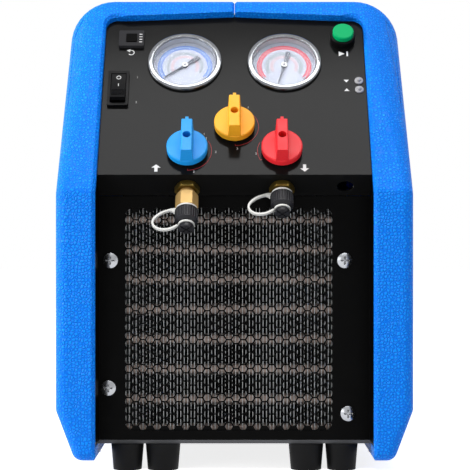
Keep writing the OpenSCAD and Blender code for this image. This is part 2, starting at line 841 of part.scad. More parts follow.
module outlet_fitting() {
    fitting(valve_x, outlet_cap_z + cap_l - cap_floor - 0.5);
}

// Hexagon with chamfered ends, corners to the sides
module hexagon(corner_d, h, cut) {
    end_cut = 0.5;
    r = corner_d / 2;
    intersection() {
        cylinder(h = h, d = corner_d, $fn = 6);
        rotate_extrude() polygon([[0, 0], [r - cut, 0], [r, cut * 0.8],
            [r, h - end_cut], [r - end_cut, h], [0, h]]);
    }
}

module port_nuts() {
    color(brass) {
        for (x = [-valve_x, valve_x]) on_port(x) difference() {
            hexagon(cap_d + nut_extra, nut_l, 1.4);
            translate([0, 0, -over]) cylinder(h = nut_l + 2 * over, d = port_d + 2 * fit);
        }
        on_port(valve_x) translate([0, 0, nut_l]) ring(port_d / 2 + 2, port_d / 2 + fit, nut_collar);
    }
}

module inlet_adapter() {
    thread_l = ring_t + 2 * ring_gap + cap_l - cap_floor - 0.5;
    color(brass) on_port(-valve_x) translate([0, 0, nut_l]) difference() {
        union() {
            cylinder(h = adapter_neck + over, d = port_d + 2);
            translate([0, 0, adapter_neck]) hexagon(cap_d, adapter_l - adapter_neck, 2.6);
            translate([0, 0, adapter_l - over]) cylinder(h = thread_l + over, d = port_d);
        }
        translate([0, 0, -over]) cylinder(h = adapter_l - adapter_web + over, d = port_d + 2 * fit);
    }
}

module cap(x, z0) {
    grooves = 24;
    r = cap_d / 2;
    end_r = neck_d / 2 + 1;
    total = cap_l + cap_neck + cap_end;
    slot = 1.2;
    color("#2d2e34") on_port(x) translate([0, 0, z0]) difference() {
        rotate_extrude() polygon([[0, 0], [r - 0.4, 0], [r, 0.4], [r, cap_l - 1.6], [r - 2, cap_l],
            [neck_d / 2, cap_l], [neck_d / 2, cap_l + cap_neck], [end_r, cap_l + cap_neck + 0.3],
            [end_r, total - 0.5], [end_r - 0.6, total], [0, total]]);
        translate([0, 0, -over]) cylinder(h = cap_l - cap_floor + over, d = port_d + 4 * fit);
        for (i = [1 : grooves]) rotate(i * 360 / grooves) translate([r + 0.2, 0, 1.2])
            cylinder(h = cap_l - 3.4, r = 0.6, $fn = 16);
        for (a = [45, 135]) rotate(a) translate([-end_r, -slot / 2, total - 1.2]) cube([2 * end_r, slot, 2]);
    }
}

// Strap from a ring on the fitting, round in a loop, to a ring in the neck of the cap
module tether(x, cap_z) {
    z0 = cap_z - ring_gap - ring_t / 2;
    z1 = cap_z + cap_l + cap_neck / 2;
    r = (z1 - z0) / 2;
    ring_r = cap_d / 2 - 0.6;
    neck_r = neck_d / 2 + 1.4;
    color("#e9e9e6") on_port(x) {
        translate([0, 0, z0 - ring_t / 2]) ring(ring_r, port_d / 2 + 2 * fit, ring_t);
        translate([0, 0, z1 - ring_t / 2]) ring(neck_r, neck_d / 2 + room, ring_t);
        translate([-loop_x, -tether_w / 2, z0 - tether_t / 2])
            cube([loop_x - ring_r + over, tether_w, tether_t]);
        translate([-loop_x, -tether_w / 2, z1 - tether_t / 2])
            cube([loop_x - neck_r + over, tether_w, tether_t]);
        translate([-loop_x, 0, (z0 + z1) / 2]) rotate([90, -90, 0]) rotate_extrude(angle = 180)
            translate([r, 0]) square([tether_t, tether_w], center = true);
    }
}

// Switches

rocker_body = 20;
rocker_frame = 2.5;
rocker_room = 0.4;
pivot_d = 2.4;

module rocker_housing() {
    pocket_w = rocker_w - 4;
    pocket_l = rocker_l - 5;
    color(black) on_panel(-rocker_x, rocker_u) difference() {
        union() {
            linear_extrude(rocker_frame) rounded_rect(rocker_w, rocker_l, 1.2);
            translate([0, 0, -rocker_body]) linear_extrude(rocker_body)
                square([rocker_w - 2 - room, rocker_l - 2 - room], center = true);
        }
        translate([0, 0, 2 - rocker_body / 2]) linear_extrude(rocker_body)
            square([pocket_w, pocket_l], center = true);
        rotate([0, 90, 0]) cylinder(h = pocket_w + 2, d = pivot_d + 2 * fit, center = true);
    }
}

module rocker() {
    w = rocker_w - 4 - 2 * rocker_room;
    l = rocker_l / 2 - 3.4;
    color(black) on_panel(-rocker_x, rocker_u) rotate([-rocker_deg, 0, 0]) {
        rotate([90, 0, 90]) linear_extrude(w, center = true)
            polygon([[-l, 4.4], [0, 2.4], [l, 4.4], [l, 1], [4, -4], [-4, -4], [-l, 1]]);
        rotate([0, 90, 0]) cylinder(h = w + 2 * rocker_room + 1.4, d = pivot_d, center = true);
    }
}

breaker_key = 8;
breaker_frame = 3;
breaker_depth = 18;

module breaker_body() {
    color(black) on_panel(-breaker_x, breaker_u) difference() {
        union() {
            linear_extrude(breaker_frame) rounded_rect(breaker_w, breaker_h, 1);
            translate([0, 0, -breaker_depth]) linear_extrude(breaker_depth)
                square([breaker_w - 3 - room, breaker_h - 3 - room], center = true);
        }
        translate([0, 0, 4 - breaker_depth]) linear_extrude(breaker_depth)
            square(breaker_key + 4 * fit, center = true);
    }
}

module breaker_button() {
    color("#0c0c0d") on_panel(-breaker_x, breaker_u, 4 - breaker_depth)
        linear_extrude(breaker_depth - 4 + breaker_frame + 0.6) rounded_rect(breaker_key, breaker_key, 0.8);
}

start_rise = 6;
start_back = 14;

module start_collar() {
    r = start_d / 2;
    color(black) on_panel(start_x, start_u) difference() {
        union() {
            rotate_extrude() polygon([[0, 0], [r + 1.5, 0], [r + 1.5, start_rise - 0.8],
                [r + 0.9, start_rise], [0, start_rise]]);
            translate([0, 0, -start_back]) cylinder(h = start_back, r = r + 0.6);
        }
        translate([0, 0, 2 - start_back]) cylinder(h = start_back + start_rise, r = r + fit);
    }
}

module start_cap() {
    r = start_d / 2;
    top = start_rise + 3.9;
    color("#0ac87a") on_panel(start_x, start_u) rotate_extrude() polygon([
        [0, 6 - start_back], [r, 6 - start_back], [r, top - 0.7], [r - 0.7, top], [0, top]
    ]);
}

module lamp_bezels() {
    color(zinc) for (i = [0, 1]) on_panel(lamp_x, lamp_u + i * lamp_pitch) difference() {
        union() {
            rotate_extrude() polygon([[0, 0], [lamp_d / 2, 0], [lamp_d / 2, 0.7],
                [lamp_d / 2 - 0.5, 1.2], [0, 1.2]]);
            translate([0, 0, -8]) cylinder(h = 8, d = lamp_d - 2 - room);
        }
        translate([0, 0, -2]) cylinder(h = 4, d = lamp_d - 3.2);
    }
}

module lamp_lenses() {
    r = (lamp_d - 3.2) / 2 - fit;
    color("#b9bcc0") for (i = [0, 1]) on_panel(lamp_x, lamp_u + i * lamp_pitch) {
        translate([0, 0, -2]) cylinder(h = 3.2, r = r);
        translate([0, 0, 1.2]) intersection() {
            sphere(r);
            cylinder(h = r, r = r);
        }
    }
}

// Condenser

function tube_z(i) = base_top + tube_edge + i * tube_pitch;

module condenser_fins() {
    span = cond_x1 - cond_x0 - 2 * fin_margin;
    count = floor(span / fin_pitch);
    color("#c4c8cb") for (i = [0 : count]) translate([fan_x + (i - count / 2) * fin_pitch, 0, 0])
        rotate([90, 0, 90]) linear_extrude(fin_t, center = true) difference() {
            translate([cond_y0, base_top + fin_margin]) square([fin_d, cond_z1 - base_top - 2 * fin_margin]);
            for (k = [0 : tube_n - 1]) translate([tube_y, tube_z(k)]) circle(d = tube_d + 2 * fit);
        }
}

module condenser_tubes() {
    x0 = cond_x0 - sheet_t - tube_out;
    length = cond_x1 - cond_x0 + 2 * (sheet_t + tube_out);
    color(copper) for (k = [0 : tube_n - 1]) translate([x0, tube_y, tube_z(k)]) rotate([0, 90, 0])
        cylinder(h = length, d = tube_d);
}

module return_bends() {
    out = sheet_t + tube_out;
    color(copper) {
        for (k = [0 : 2 : tube_n - 2]) translate([cond_x0 - out, tube_y, tube_z(k) + tube_pitch / 2])
            rotate([90, -90, 0]) rotate_extrude(angle = 180) translate([tube_pitch / 2, 0])
                circle(d = tube_d);
        for (k = [1 : 2 : tube_n - 2]) translate([cond_x1 + out, tube_y, tube_z(k) + tube_pitch / 2])
            rotate([90, 90, 0]) rotate_extrude(angle = 180) translate([tube_pitch / 2, 0])
                circle(d = tube_d);
    }
}

// Side plate with tube holes and a front flange that the cover screws into
module condenser_plates() {
    h = cond_z1 - base_top;
    color(steel) difference() {
        union() for (side = [[cond_x0 - sheet_t, cond_x0 - cond_flange], [cond_x1, cond_x1]]) {
            translate([side[0], grille_y, base_top]) cube([sheet_t, cond_y1 - grille_y, h]);
            translate([side[1], grille_y, base_top]) cube([cond_flange, sheet_t, h]);
        }
        for (k = [0 : tube_n - 1]) translate([0, tube_y, tube_z(k)]) rotate([0, 90, 0])
            cylinder(h = case_w, d = tube_d + 2 * fit, center = true);
        for (p = cover_screw_at) translate([p[0], grille_y, p[1]]) rotate([90, 0, 0])
            cylinder(h = 4 * sheet_t, d = cover_screw_d + 2 * fit, center = true);
    }
}

// Fan

module fan_shroud() {
    x0 = cond_x0 - sheet_t;
    w = cond_x1 - cond_x0 + 2 * sheet_t;
    color(steel) difference() {
        union() {
            translate([x0, cond_y1, base_top]) cube([w, sheet_t, cover_top - base_top]);
            on_axis(cond_y1) cylinder(h = shroud_d, r = shroud_r + sheet_t, $fn = 96);
        }
        on_axis(cond_y1 - over) cylinder(h = shroud_d + 2 * over, r = shroud_r, $fn = 96);
    }
}

module fan() {
    pitch_deg = 32;
    chord = 46;
    root = (hub_d - fan_d) / 4;
    color(black) on_axis(fan_y0) difference() {
        union() {
            cylinder(h = hub_l, d = hub_d);
            intersection() {
                cylinder(h = hub_l, d = fan_d, $fn = 96);
                for (i = [1 : fan_blades]) rotate(i * 360 / fan_blades) translate([fan_d / 4, 0, hub_l / 2])
                    rotate([pitch_deg, 0, 0]) linear_extrude(2, center = true)
                        polygon([[root, -chord / 5], [fan_d / 4, -chord / 2], [fan_d / 3, 0],
                            [fan_d / 4, chord / 2], [root, chord / 5]]);
            }
        }
        translate([0, 0, hub_cap]) cylinder(h = hub_l, d = shaft_d + 2 * fit);
    }
}

module motor_shaft() {
    y0 = fan_y0 + hub_cap + room;
    color(zinc) on_axis(y0) cylinder(h = motor_y0 - y0 + motor_l / 2, d = shaft_d);
}

// Compressor

module compressor_motor() {
    r = motor_d / 2;
    bell = 14;
    color(steel) on_axis(motor_y0) difference() {
        union() {
            rotate_extrude($fn = 96) polygon([[0, 0], [r - 8, 0], [r - 2, 6], [r - 2, bell], [r, bell],
                [r, motor_l - bell], [r - 2, motor_l - bell], [r - 2, motor_l], [0, motor_l]]);
            for (i = [0 : 4]) translate([0, 0, motor_l / 2 + (i - 2) * 4])
                cylinder(h = 1.6, r = r + 2.5, $fn = 96);
        }
        translate([0, 0, -over]) cylinder(h = motor_l / 2 + 2 * over, d = shaft_d + 2 * fit);
    }
}

module crankcase() {
    cover_r = crank_w * 0.36;
    color("#8b9094") {
        translate([fan_x, crank_y1, fan_z]) rotate([90, 0, 0]) linear_extrude(crank_l)
            rounded_rect(crank_w, crank_w, 12);
        on_axis(crank_y1) cylinder(h = 6, r = cover_r);
    }
}

module cylinder_heads() {
    fins = 5;
    fin_step = (barrel_l - 4) / fins;
    color("#a4a8ab") for (s = [-1, 1]) translate([fan_x + s * crank_w / 2, crank_y0 + crank_l / 2, fan_z])
        rotate([0, s * 90, 0]) {
            cylinder(h = barrel_l, d = barrel_d);
            for (i = [0 : fins - 1]) translate([0, 0, 4 + i * fin_step]) cylinder(h = 2.2, d = barrel_d + 12);
            translate([0, 0, barrel_l]) linear_extrude(head_t) rounded_rect(barrel_d + 8, barrel_d + 8, 8);
        }
}

module compressor_cradle() {
    saddle_w = motor_d * 0.8;
    saddle_h = fan_z - cradle_z - motor_d * 0.22;
    color(steel) difference() {
        union() {
            translate([fan_x - cradle_w / 2, motor_y0, cradle_z])
                cube([cradle_w, motor_l + crank_l, cradle_t]);
            for (y = [motor_y0 + 18, crank_y0 - 18 - saddle_t]) translate([fan_x - saddle_w / 2, y, cradle_z])
                cube([saddle_w, saddle_t, saddle_h]);
            translate([fan_x - saddle_w / 2, crank_y0 + 10, cradle_z])
                cube([saddle_w, crank_l - 20, fan_z - crank_w / 2 - cradle_z]);
        }
        on_axis(motor_y0 - over) cylinder(h = motor_l + over, d = motor_d + 2 * fit, $fn = 96);
    }
}

module compressor_mounts() {
    x = cradle_w / 2 - mount_inset;
    color(black) for (s = [-1, 1], y = [motor_y0 + mount_inset, crank_y1 - mount_inset])
        translate([fan_x + s * x, y, base_top]) cylinder(h = mount_h, d = mount_d);
}

// Copper lines between the valve block, the gauges, the compressor and the condenser
line_r = 3.2;

module panel_line(points) {
    swept_tube(route([for (p = points) panel_pt(p[0], p[1], p[2])], 3), line_r, [1, 0, 0]);
}

module refrigerant_lines() {
    mid_u = (block_u0 + block_u1) / 2;
    out_x = cond_x1 + sheet_t + tube_out;
    head_x = fan_x + crank_w / 2 + barrel_l + head_t / 2;
    head_y = crank_y0 + crank_l / 2;
    head_z = fan_z + barrel_d / 2 + 4;
    color(copper) {
        for (s = [-1, 1]) panel_line([
            [s * gauge_x, gauge_u, -gauge_back],
            [s * gauge_x, gauge_u, -gauge_back - 3],
            [s * gauge_x, gauge_u - 9, -gauge_back - 9],
            [s * gauge_x, block_u1 + 14, -gauge_back - 5],
            [s * gauge_x, block_u1 + 3, -gauge_back],
            [s * gauge_x, block_u1, -gauge_back]
        ]);
        swept_tube(route([
            panel_pt(-valve_x, mid_u, -block_n1),
            panel_pt(-valve_x, mid_u, -block_n1 - 4),
            [-valve_x - 20, head_y - 100, head_z + 70],
            [2 * fan_x - head_x, head_y - 16, head_z + 40],
            [2 * fan_x - head_x, head_y, head_z + 4],
            [2 * fan_x - head_x, head_y, head_z]
        ], 3), line_r, [1, 0, 0]);
        swept_tube(route([
            [head_x, head_y, head_z],
            [head_x, head_y, head_z + 4],
            [head_x + 4, head_y - 40, head_z + 30],
            [out_x + 20, tube_y + 60, tube_z(tube_n - 1) + 14],
            [out_x + 16, tube_y + 8, tube_z(tube_n - 1) + 2],
            [out_x + 4, tube_y, tube_z(tube_n - 1)],
            [out_x, tube_y, tube_z(tube_n - 1)]
        ], 3), line_r, [1, 0, 0]);
        swept_tube(route([
            [out_x, tube_y, tube_z(0)],
            [out_x + 4, tube_y, tube_z(0)],
            [out_x + 18, tube_y + 16, tube_z(0) + 16],
            [out_x + 24, tube_y + 30, fan_z],
            [out_x + 4, tube_y + 34, fan_z + 70],
            panel_pt(valve_x, mid_u, -block_n1 - 10),
            panel_pt(valve_x, mid_u, -block_n1)
        ], 3), line_r, [0, 1, 0]);
    }
}

// Electrical pieces

capacitor_d = 40;
capacitor_h = 72;

module capacitor() {
    r = capacitor_d / 2;
    color("#30343a") translate([-open_w / 2 + capacitor_d / 2, crank_y1 + 30, base_top]) {
        rotate_extrude() polygon([[0, 0], [r - 1, 0], [r, 1],
            [r, capacitor_h - 2], [r - 2, capacitor_h], [0, capacitor_h]]);
        for (x = [-6, 6]) translate([x - 3, -0.4, capacitor_h - over]) cube([6, 0.8, 9]);
    }
}

plug_w = 30;
plug_h = 23;
plug_depth = 20;

// Appliance inlet with three pins in its recess
module power_inlet() {
    mouth_w = 24.6;
    mouth_h = 17;
    ear = 52;
    color(black) translate([inlet_plug_x, yr - rim_t, inlet_plug_z]) rotate([-90, 0, 0]) {
        difference() {
            union() {
                linear_extrude(2.5) rounded_rect(ear, plug_h + 2, 3);
                translate([0, 0, -plug_depth]) linear_extrude(plug_depth)
                    square([plug_w - 2 - room, plug_h - 2 - room], center = true);
            }
            translate([0, 0, 3 - plug_depth]) linear_extrude(plug_depth) rounded_rect(mouth_w, mouth_h, 2.5);
            for (s = [-1, 1]) translate([s * 20, 0, -over]) cylinder(h = 5, d = 3.4);
        }
    }
    color(zinc) translate([inlet_plug_x, yr - rim_t, inlet_plug_z]) rotate([-90, 0, 0])
        for (p = [[-7, 1.5], [0, -3], [7, 1.5]]) translate([p[0] - 1, p[1] - 2, 3 - plug_depth])
            cube([2, 4, 14]);
}

left_shell();
right_shell();
base_plate();
front_cover();
front_grille();
control_panel();
rear_panel();
cover_screws();
rear_screws();
shell_screws();
feet();
foot_screws();
gauge_case(-gauge_x);  // low_gauge_case
gauge_bezel(-gauge_x);  // low_gauge_bezel
gauge_lens(-gauge_x);  // low_gauge_lens
gauge_dial(-gauge_x);  // low_gauge_dial
gauge_needle(-gauge_x, low_needle_deg);  // low_gauge_needle
gauge_case(gauge_x);  // high_gauge_case
gauge_bezel(gauge_x);  // high_gauge_bezel
gauge_lens(gauge_x);  // high_gauge_lens
gauge_dial(gauge_x);  // high_gauge_dial
gauge_needle(gauge_x, high_needle_deg);  // high_gauge_needle
knob(-valve_x, valve_u, "#2896f0");  // inlet_knob
knob(0, mode_u, "#ffcd46");  // mode_knob
knob(valve_x, valve_u, "#f03c46");  // outlet_knob
stem(-valve_x, valve_u);  // inlet_stem
stem(0, mode_u);  // mode_stem
stem(valve_x, valve_u);  // outlet_stem
valve_block();
inlet_fitting();
outlet_fitting();
port_nuts();
inlet_adapter();
cap(-valve_x, inlet_cap_z);  // inlet_cap
cap(valve_x, outlet_cap_z);  // outlet_cap
tether(-valve_x, inlet_cap_z);  // inlet_tether
tether(valve_x, outlet_cap_z);  // outlet_tether
breaker_body();
breaker_button();
rocker_housing();
rocker();
start_collar();
start_cap();
lamp_bezels();
lamp_lenses();
condenser_fins();
condenser_tubes();
return_bends();
condenser_plates();
fan_shroud();
fan();
motor_shaft();
compressor_motor();
crankcase();
cylinder_heads();
compressor_cradle();
compressor_mounts();
refrigerant_lines();
capacitor();
power_inlet();
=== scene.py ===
"""Looks of a portable refrigerant recovery machine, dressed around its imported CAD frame.

The CAD frame is used throughout: X to the right, Y to the rear, Z up, floor at Z 0. Blender's lengths are
metres, and sizes that are named in millimetres are multiplied by MM where they are used.
"""

import json
import math

import bmesh
import bpy
from mathutils import Matrix, Vector


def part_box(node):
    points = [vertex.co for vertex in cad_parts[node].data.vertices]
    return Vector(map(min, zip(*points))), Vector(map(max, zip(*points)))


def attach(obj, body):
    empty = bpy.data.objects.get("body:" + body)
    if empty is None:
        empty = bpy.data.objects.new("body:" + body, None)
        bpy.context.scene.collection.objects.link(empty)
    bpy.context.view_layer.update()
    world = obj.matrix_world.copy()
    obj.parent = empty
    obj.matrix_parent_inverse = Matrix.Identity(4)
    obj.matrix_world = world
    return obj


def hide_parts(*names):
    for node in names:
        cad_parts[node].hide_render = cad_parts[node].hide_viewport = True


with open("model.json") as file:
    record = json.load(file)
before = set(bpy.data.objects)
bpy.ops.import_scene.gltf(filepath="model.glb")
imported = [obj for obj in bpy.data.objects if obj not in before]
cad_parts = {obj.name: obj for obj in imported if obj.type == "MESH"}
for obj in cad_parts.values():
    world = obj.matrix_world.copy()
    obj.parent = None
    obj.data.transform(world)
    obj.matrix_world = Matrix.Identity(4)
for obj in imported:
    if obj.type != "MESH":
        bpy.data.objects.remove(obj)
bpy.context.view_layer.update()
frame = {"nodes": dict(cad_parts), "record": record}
nodes = frame["nodes"]

MM = 0.001

# Camera of the photograph, which is 470 pixels square
SENSOR = 36.0
LENS = 114.9
CAMERA_AT = Vector((0.35, -1235.0, 170.0)) * MM

# Plane of the control panel: x across, u up the slope, n out of it, from the middle of its lower edge
SLOPE = math.radians(35)
PANEL_FOOT = Vector((0, -168.78, 212.84)) * MM
PANEL_U = Vector((0, math.sin(SLOPE), math.cos(SLOPE)))
PANEL_N = Vector((0, -math.cos(SLOPE), math.sin(SLOPE)))

# Places on the panel, in millimetres, as in the CAD source
GAUGE_X = {"low": -37.34, "high": 37.34}
GAUGE_U = 105.45
DIAL_TOP = -4.0
KNOB_AT = {"inlet": (-34.0, 21.44), "mode": (0.0, 43.78), "outlet": (34.0, 21.44)}
ROCKER_AT = (-86.04, 78.98)
ROCKER_FACE = 2.36
ROCKER_TILT = math.radians(1.32)
ROCKER_RISE = math.radians(18.68)
NEEDLE_LOW = -3.1
NEEDLE_T = 0.6
NEEDLE_DEG = {"low": 128.0, "high": 165.0}
HUB_TOP = -1.8
BREAKER_AT = (-78.0, 127.93)
BREAKER_FACE = 3.0
PORT_N = -14.0


def linear(r, g, b):
    """sRGB from 0 to 255 as a linear colour."""
    def one(c):
        c /= 255
        return c / 12.92 if c <= 0.04045 else ((c + 0.055) / 1.055) ** 2.4
    return (one(r), one(g), one(b), 1.0)


# Node helpers

def add(tree, kind, inputs=None, **settings):
    """A shader node; an input takes a value, or another node's output to be joined to it."""
    made = tree.nodes.new("ShaderNode" + kind)
    for key, value in settings.items():
        setattr(made, key, value)
    for key, value in (inputs or {}).items():
        socket = made.inputs[key]
        if isinstance(value, bpy.types.NodeSocket):
            tree.links.new(value, socket)
        else:
            socket.default_value = value
    return made


def noise(tree, where, scale, detail=3.0, roughness=0.5):
    inputs = {"Vector": where, "Scale": scale, "Detail": detail, "Roughness": roughness}
    return add(tree, "TexNoise", inputs).outputs["Fac"]


def spread(tree, value, low, high, start=0.0, end=1.0):
    """value from start to end, mapped to low to high."""
    inputs = {"Value": value, "From Min": start, "From Max": end, "To Min": low, "To Max": high}
    return add(tree, "MapRange", inputs).outputs["Result"]


def maths(tree, operation, a, b):
    return add(tree, "Math", {0: a, 1: b}, operation=operation).outputs[0]


def blend_colour(tree, factor, a, b):
    made = add(tree, "Mix", {0: factor, 6: a, 7: b}, data_type="RGBA")
    return made.outputs[2]


def shade(tone, factor):
    return (tone[0] * factor, tone[1] * factor, tone[2] * factor, 1.0)


# Surface noise: scales per metre, and the part of each noise that is spread from none to full
CLOUD_SCALE = 24
SMUDGE_SCALE = 60
SMUDGE_SPREAD = (0.3, 0.7)
SMEAR_SCALE = 90
SMEAR_SPREAD = (0.45, 0.75)
SMEAR_ROUGH = 0.05
EDGE_PATCH_SCALE = 140
EDGE_PATCH_SPREAD = (0.42, 0.66)
BRUSH_SCALE = (900, 900, 25)
BRUSH_STRENGTH = 0.6
PEBBLE_RANDOM = 0.8
PEBBLE_RIM = (0.04, 0.3)
PAINTED_PEBBLE_SHADE_SPREAD = (0.25, 0.95)

# Edges and corners: cosines between the soft and the hard normal, and the reach of the painted shade in
# corners and slots, in metres
EDGE_TURN = (0.75, 0.985)
BEVEL_SAMPLES = 4
PAINTED_SHADE_REACH = 0.0015
PAINTED_SHADE_SPREAD = (0.3, 0.9)
PAINTED_SHADE_FACTOR = 0.05
PAINTED_SHADE_SAMPLES = 8

# The lenses are thin, and mirror less than solid glass would
LENS_IOR = 1.08


def edge_mask(tree, radius, where):
    """1 along sharp edges, broken up by noise, and 0 on flat faces."""
    soft = add(tree, "Bevel", {"Radius": radius}, samples=BEVEL_SAMPLES).outputs["Normal"]
    hard = add(tree, "NewGeometry").outputs["Normal"]
    turn = add(tree, "VectorMath", {0: soft, 1: hard}, operation="DOT_PRODUCT").outputs["Value"]
    edge = spread(tree, turn, 1.0, 0.0, *EDGE_TURN)
    patch = spread(tree, noise(tree, where, EDGE_PATCH_SCALE, 4), 0.0, 1.0, *EDGE_PATCH_SPREAD)
    return maths(tree, "MULTIPLY", edge, patch)


def grain_height(tree, where, kind, scale):
    """Height of a grain from 0 to 1: round pebbles, or fine noise."""
    if kind == "pebble":
        inputs = {"Vector": where, "Scale": scale, "Randomness": PEBBLE_RANDOM}
        rim = add(tree, "TexVoronoi", inputs, feature="DISTANCE_TO_EDGE").outputs["Distance"]
        return spread(tree, rim, 0.0, 1.0, *PEBBLE_RIM)
    return noise(tree, where, scale, 3)


def finish(name, tone, rough, *, grain, metal=0.0, vary=0.06, edge_wear_and_highlight=None, edge=0.0004, scratch=0.0,
           specular=0.3, rough_vary=0.08, painted_pebble_shade=None, painted_corner_shade=0.0):
    """A material: tone and roughness that vary a little, a bumpy grain, and worn edges, on the shell also a
    painted highlight.

    grain is (kind, scale per metre, depth in metres). edge is the radius of soft edges and scratch the depth
    of brush lines, in metres. hollow is the painted shade between pebbles, and dirt paints shade into
    corners and slots.
    """
    made = bpy.data.materials.new(name)
    made.use_nodes = True
    tree = made.node_tree
    shader = tree.nodes["Principled BSDF"]
    where = add(tree, "TexCoord").outputs["Object"]
    kind, scale, depth = grain
    height = grain_height(tree, where, kind, scale)
    cloud = noise(tree, where, CLOUD_SCALE, 5)
    colour = blend_colour(tree, cloud, shade(tone, 1 - vary), shade(tone, 1 + vary))
    # Painted shade: the hollows between pebbles are darkened towards the hollow tone, so the pebble tops
    # read as lit
    if painted_pebble_shade:
        low = spread(tree, height, 1.0, 0.0, *PAINTED_PEBBLE_SHADE_SPREAD)
        colour = blend_colour(tree, low, colour, painted_pebble_shade)
    # Edges turn to the worn tone: edge wear, and on the shell also a painted highlight along its edges
    if edge_wear_and_highlight:
        colour = blend_colour(tree, edge_mask(tree, edge, where), colour, edge_wear_and_highlight)
    # Painted shade: ambient occlusion darkens corners and slots towards a near-black copy of the tone
    if painted_corner_shade:
        air = add(tree, "AmbientOcclusion", {"Distance": PAINTED_SHADE_REACH}, samples=PAINTED_SHADE_SAMPLES).outputs["AO"]
        closed = spread(tree, air, painted_corner_shade, 0.0, *PAINTED_SHADE_SPREAD)
        colour = blend_colour(tree, closed, colour, shade(tone, PAINTED_SHADE_FACTOR))
    tree.links.new(colour, shader.inputs["Base Color"])
    smudge = noise(tree, where, SMUDGE_SCALE, 6, 0.62)
    roughness = spread(tree, smudge, rough - rough_vary, rough + rough_vary, *SMUDGE_SPREAD)
    tree.links.new(roughness, shader.inputs["Roughness"])
    shader.inputs["Metallic"].default_value = metal
    shader.inputs["Specular IOR Level"].default_value = specular
    normal = add(tree, "Bevel", {"Radius": edge}, samples=BEVEL_SAMPLES).outputs["Normal"]
    normal = add(tree, "Bump", {"Height": height, "Distance": depth, "Normal": normal}).outputs["Normal"]
    if scratch:
        drawn_out = add(tree, "Mapping", {"Vector": where, "Scale": BRUSH_SCALE}).outputs["Vector"]
        lines = noise(tree, drawn_out, 1.0, 2)
        inputs = {"Height": lines, "Distance": scratch, "Strength": BRUSH_STRENGTH, "Normal": normal}
        normal = add(tree, "Bump", inputs).outputs["Normal"]
    tree.links.new(normal, shader.inputs["Normal"])
    return made


def clear_glass(name, tone, rough):
    made = bpy.data.materials.new(name)
    made.use_nodes = True
    tree = made.node_tree
    shader = tree.nodes["Principled BSDF"]
    where = add(tree, "TexCoord").outputs["Object"]
    smear = noise(tree, where, SMEAR_SCALE, 4)
    roughness = spread(tree, smear, rough, rough + SMEAR_ROUGH, *SMEAR_SPREAD)
    tree.links.new(roughness, shader.inputs["Roughness"])
    shader.inputs["Base Color"].default_value = tone
    shader.inputs["Transmission Weight"].default_value = 1.0
    shader.inputs["IOR"].default_value = LENS_IOR
    return made


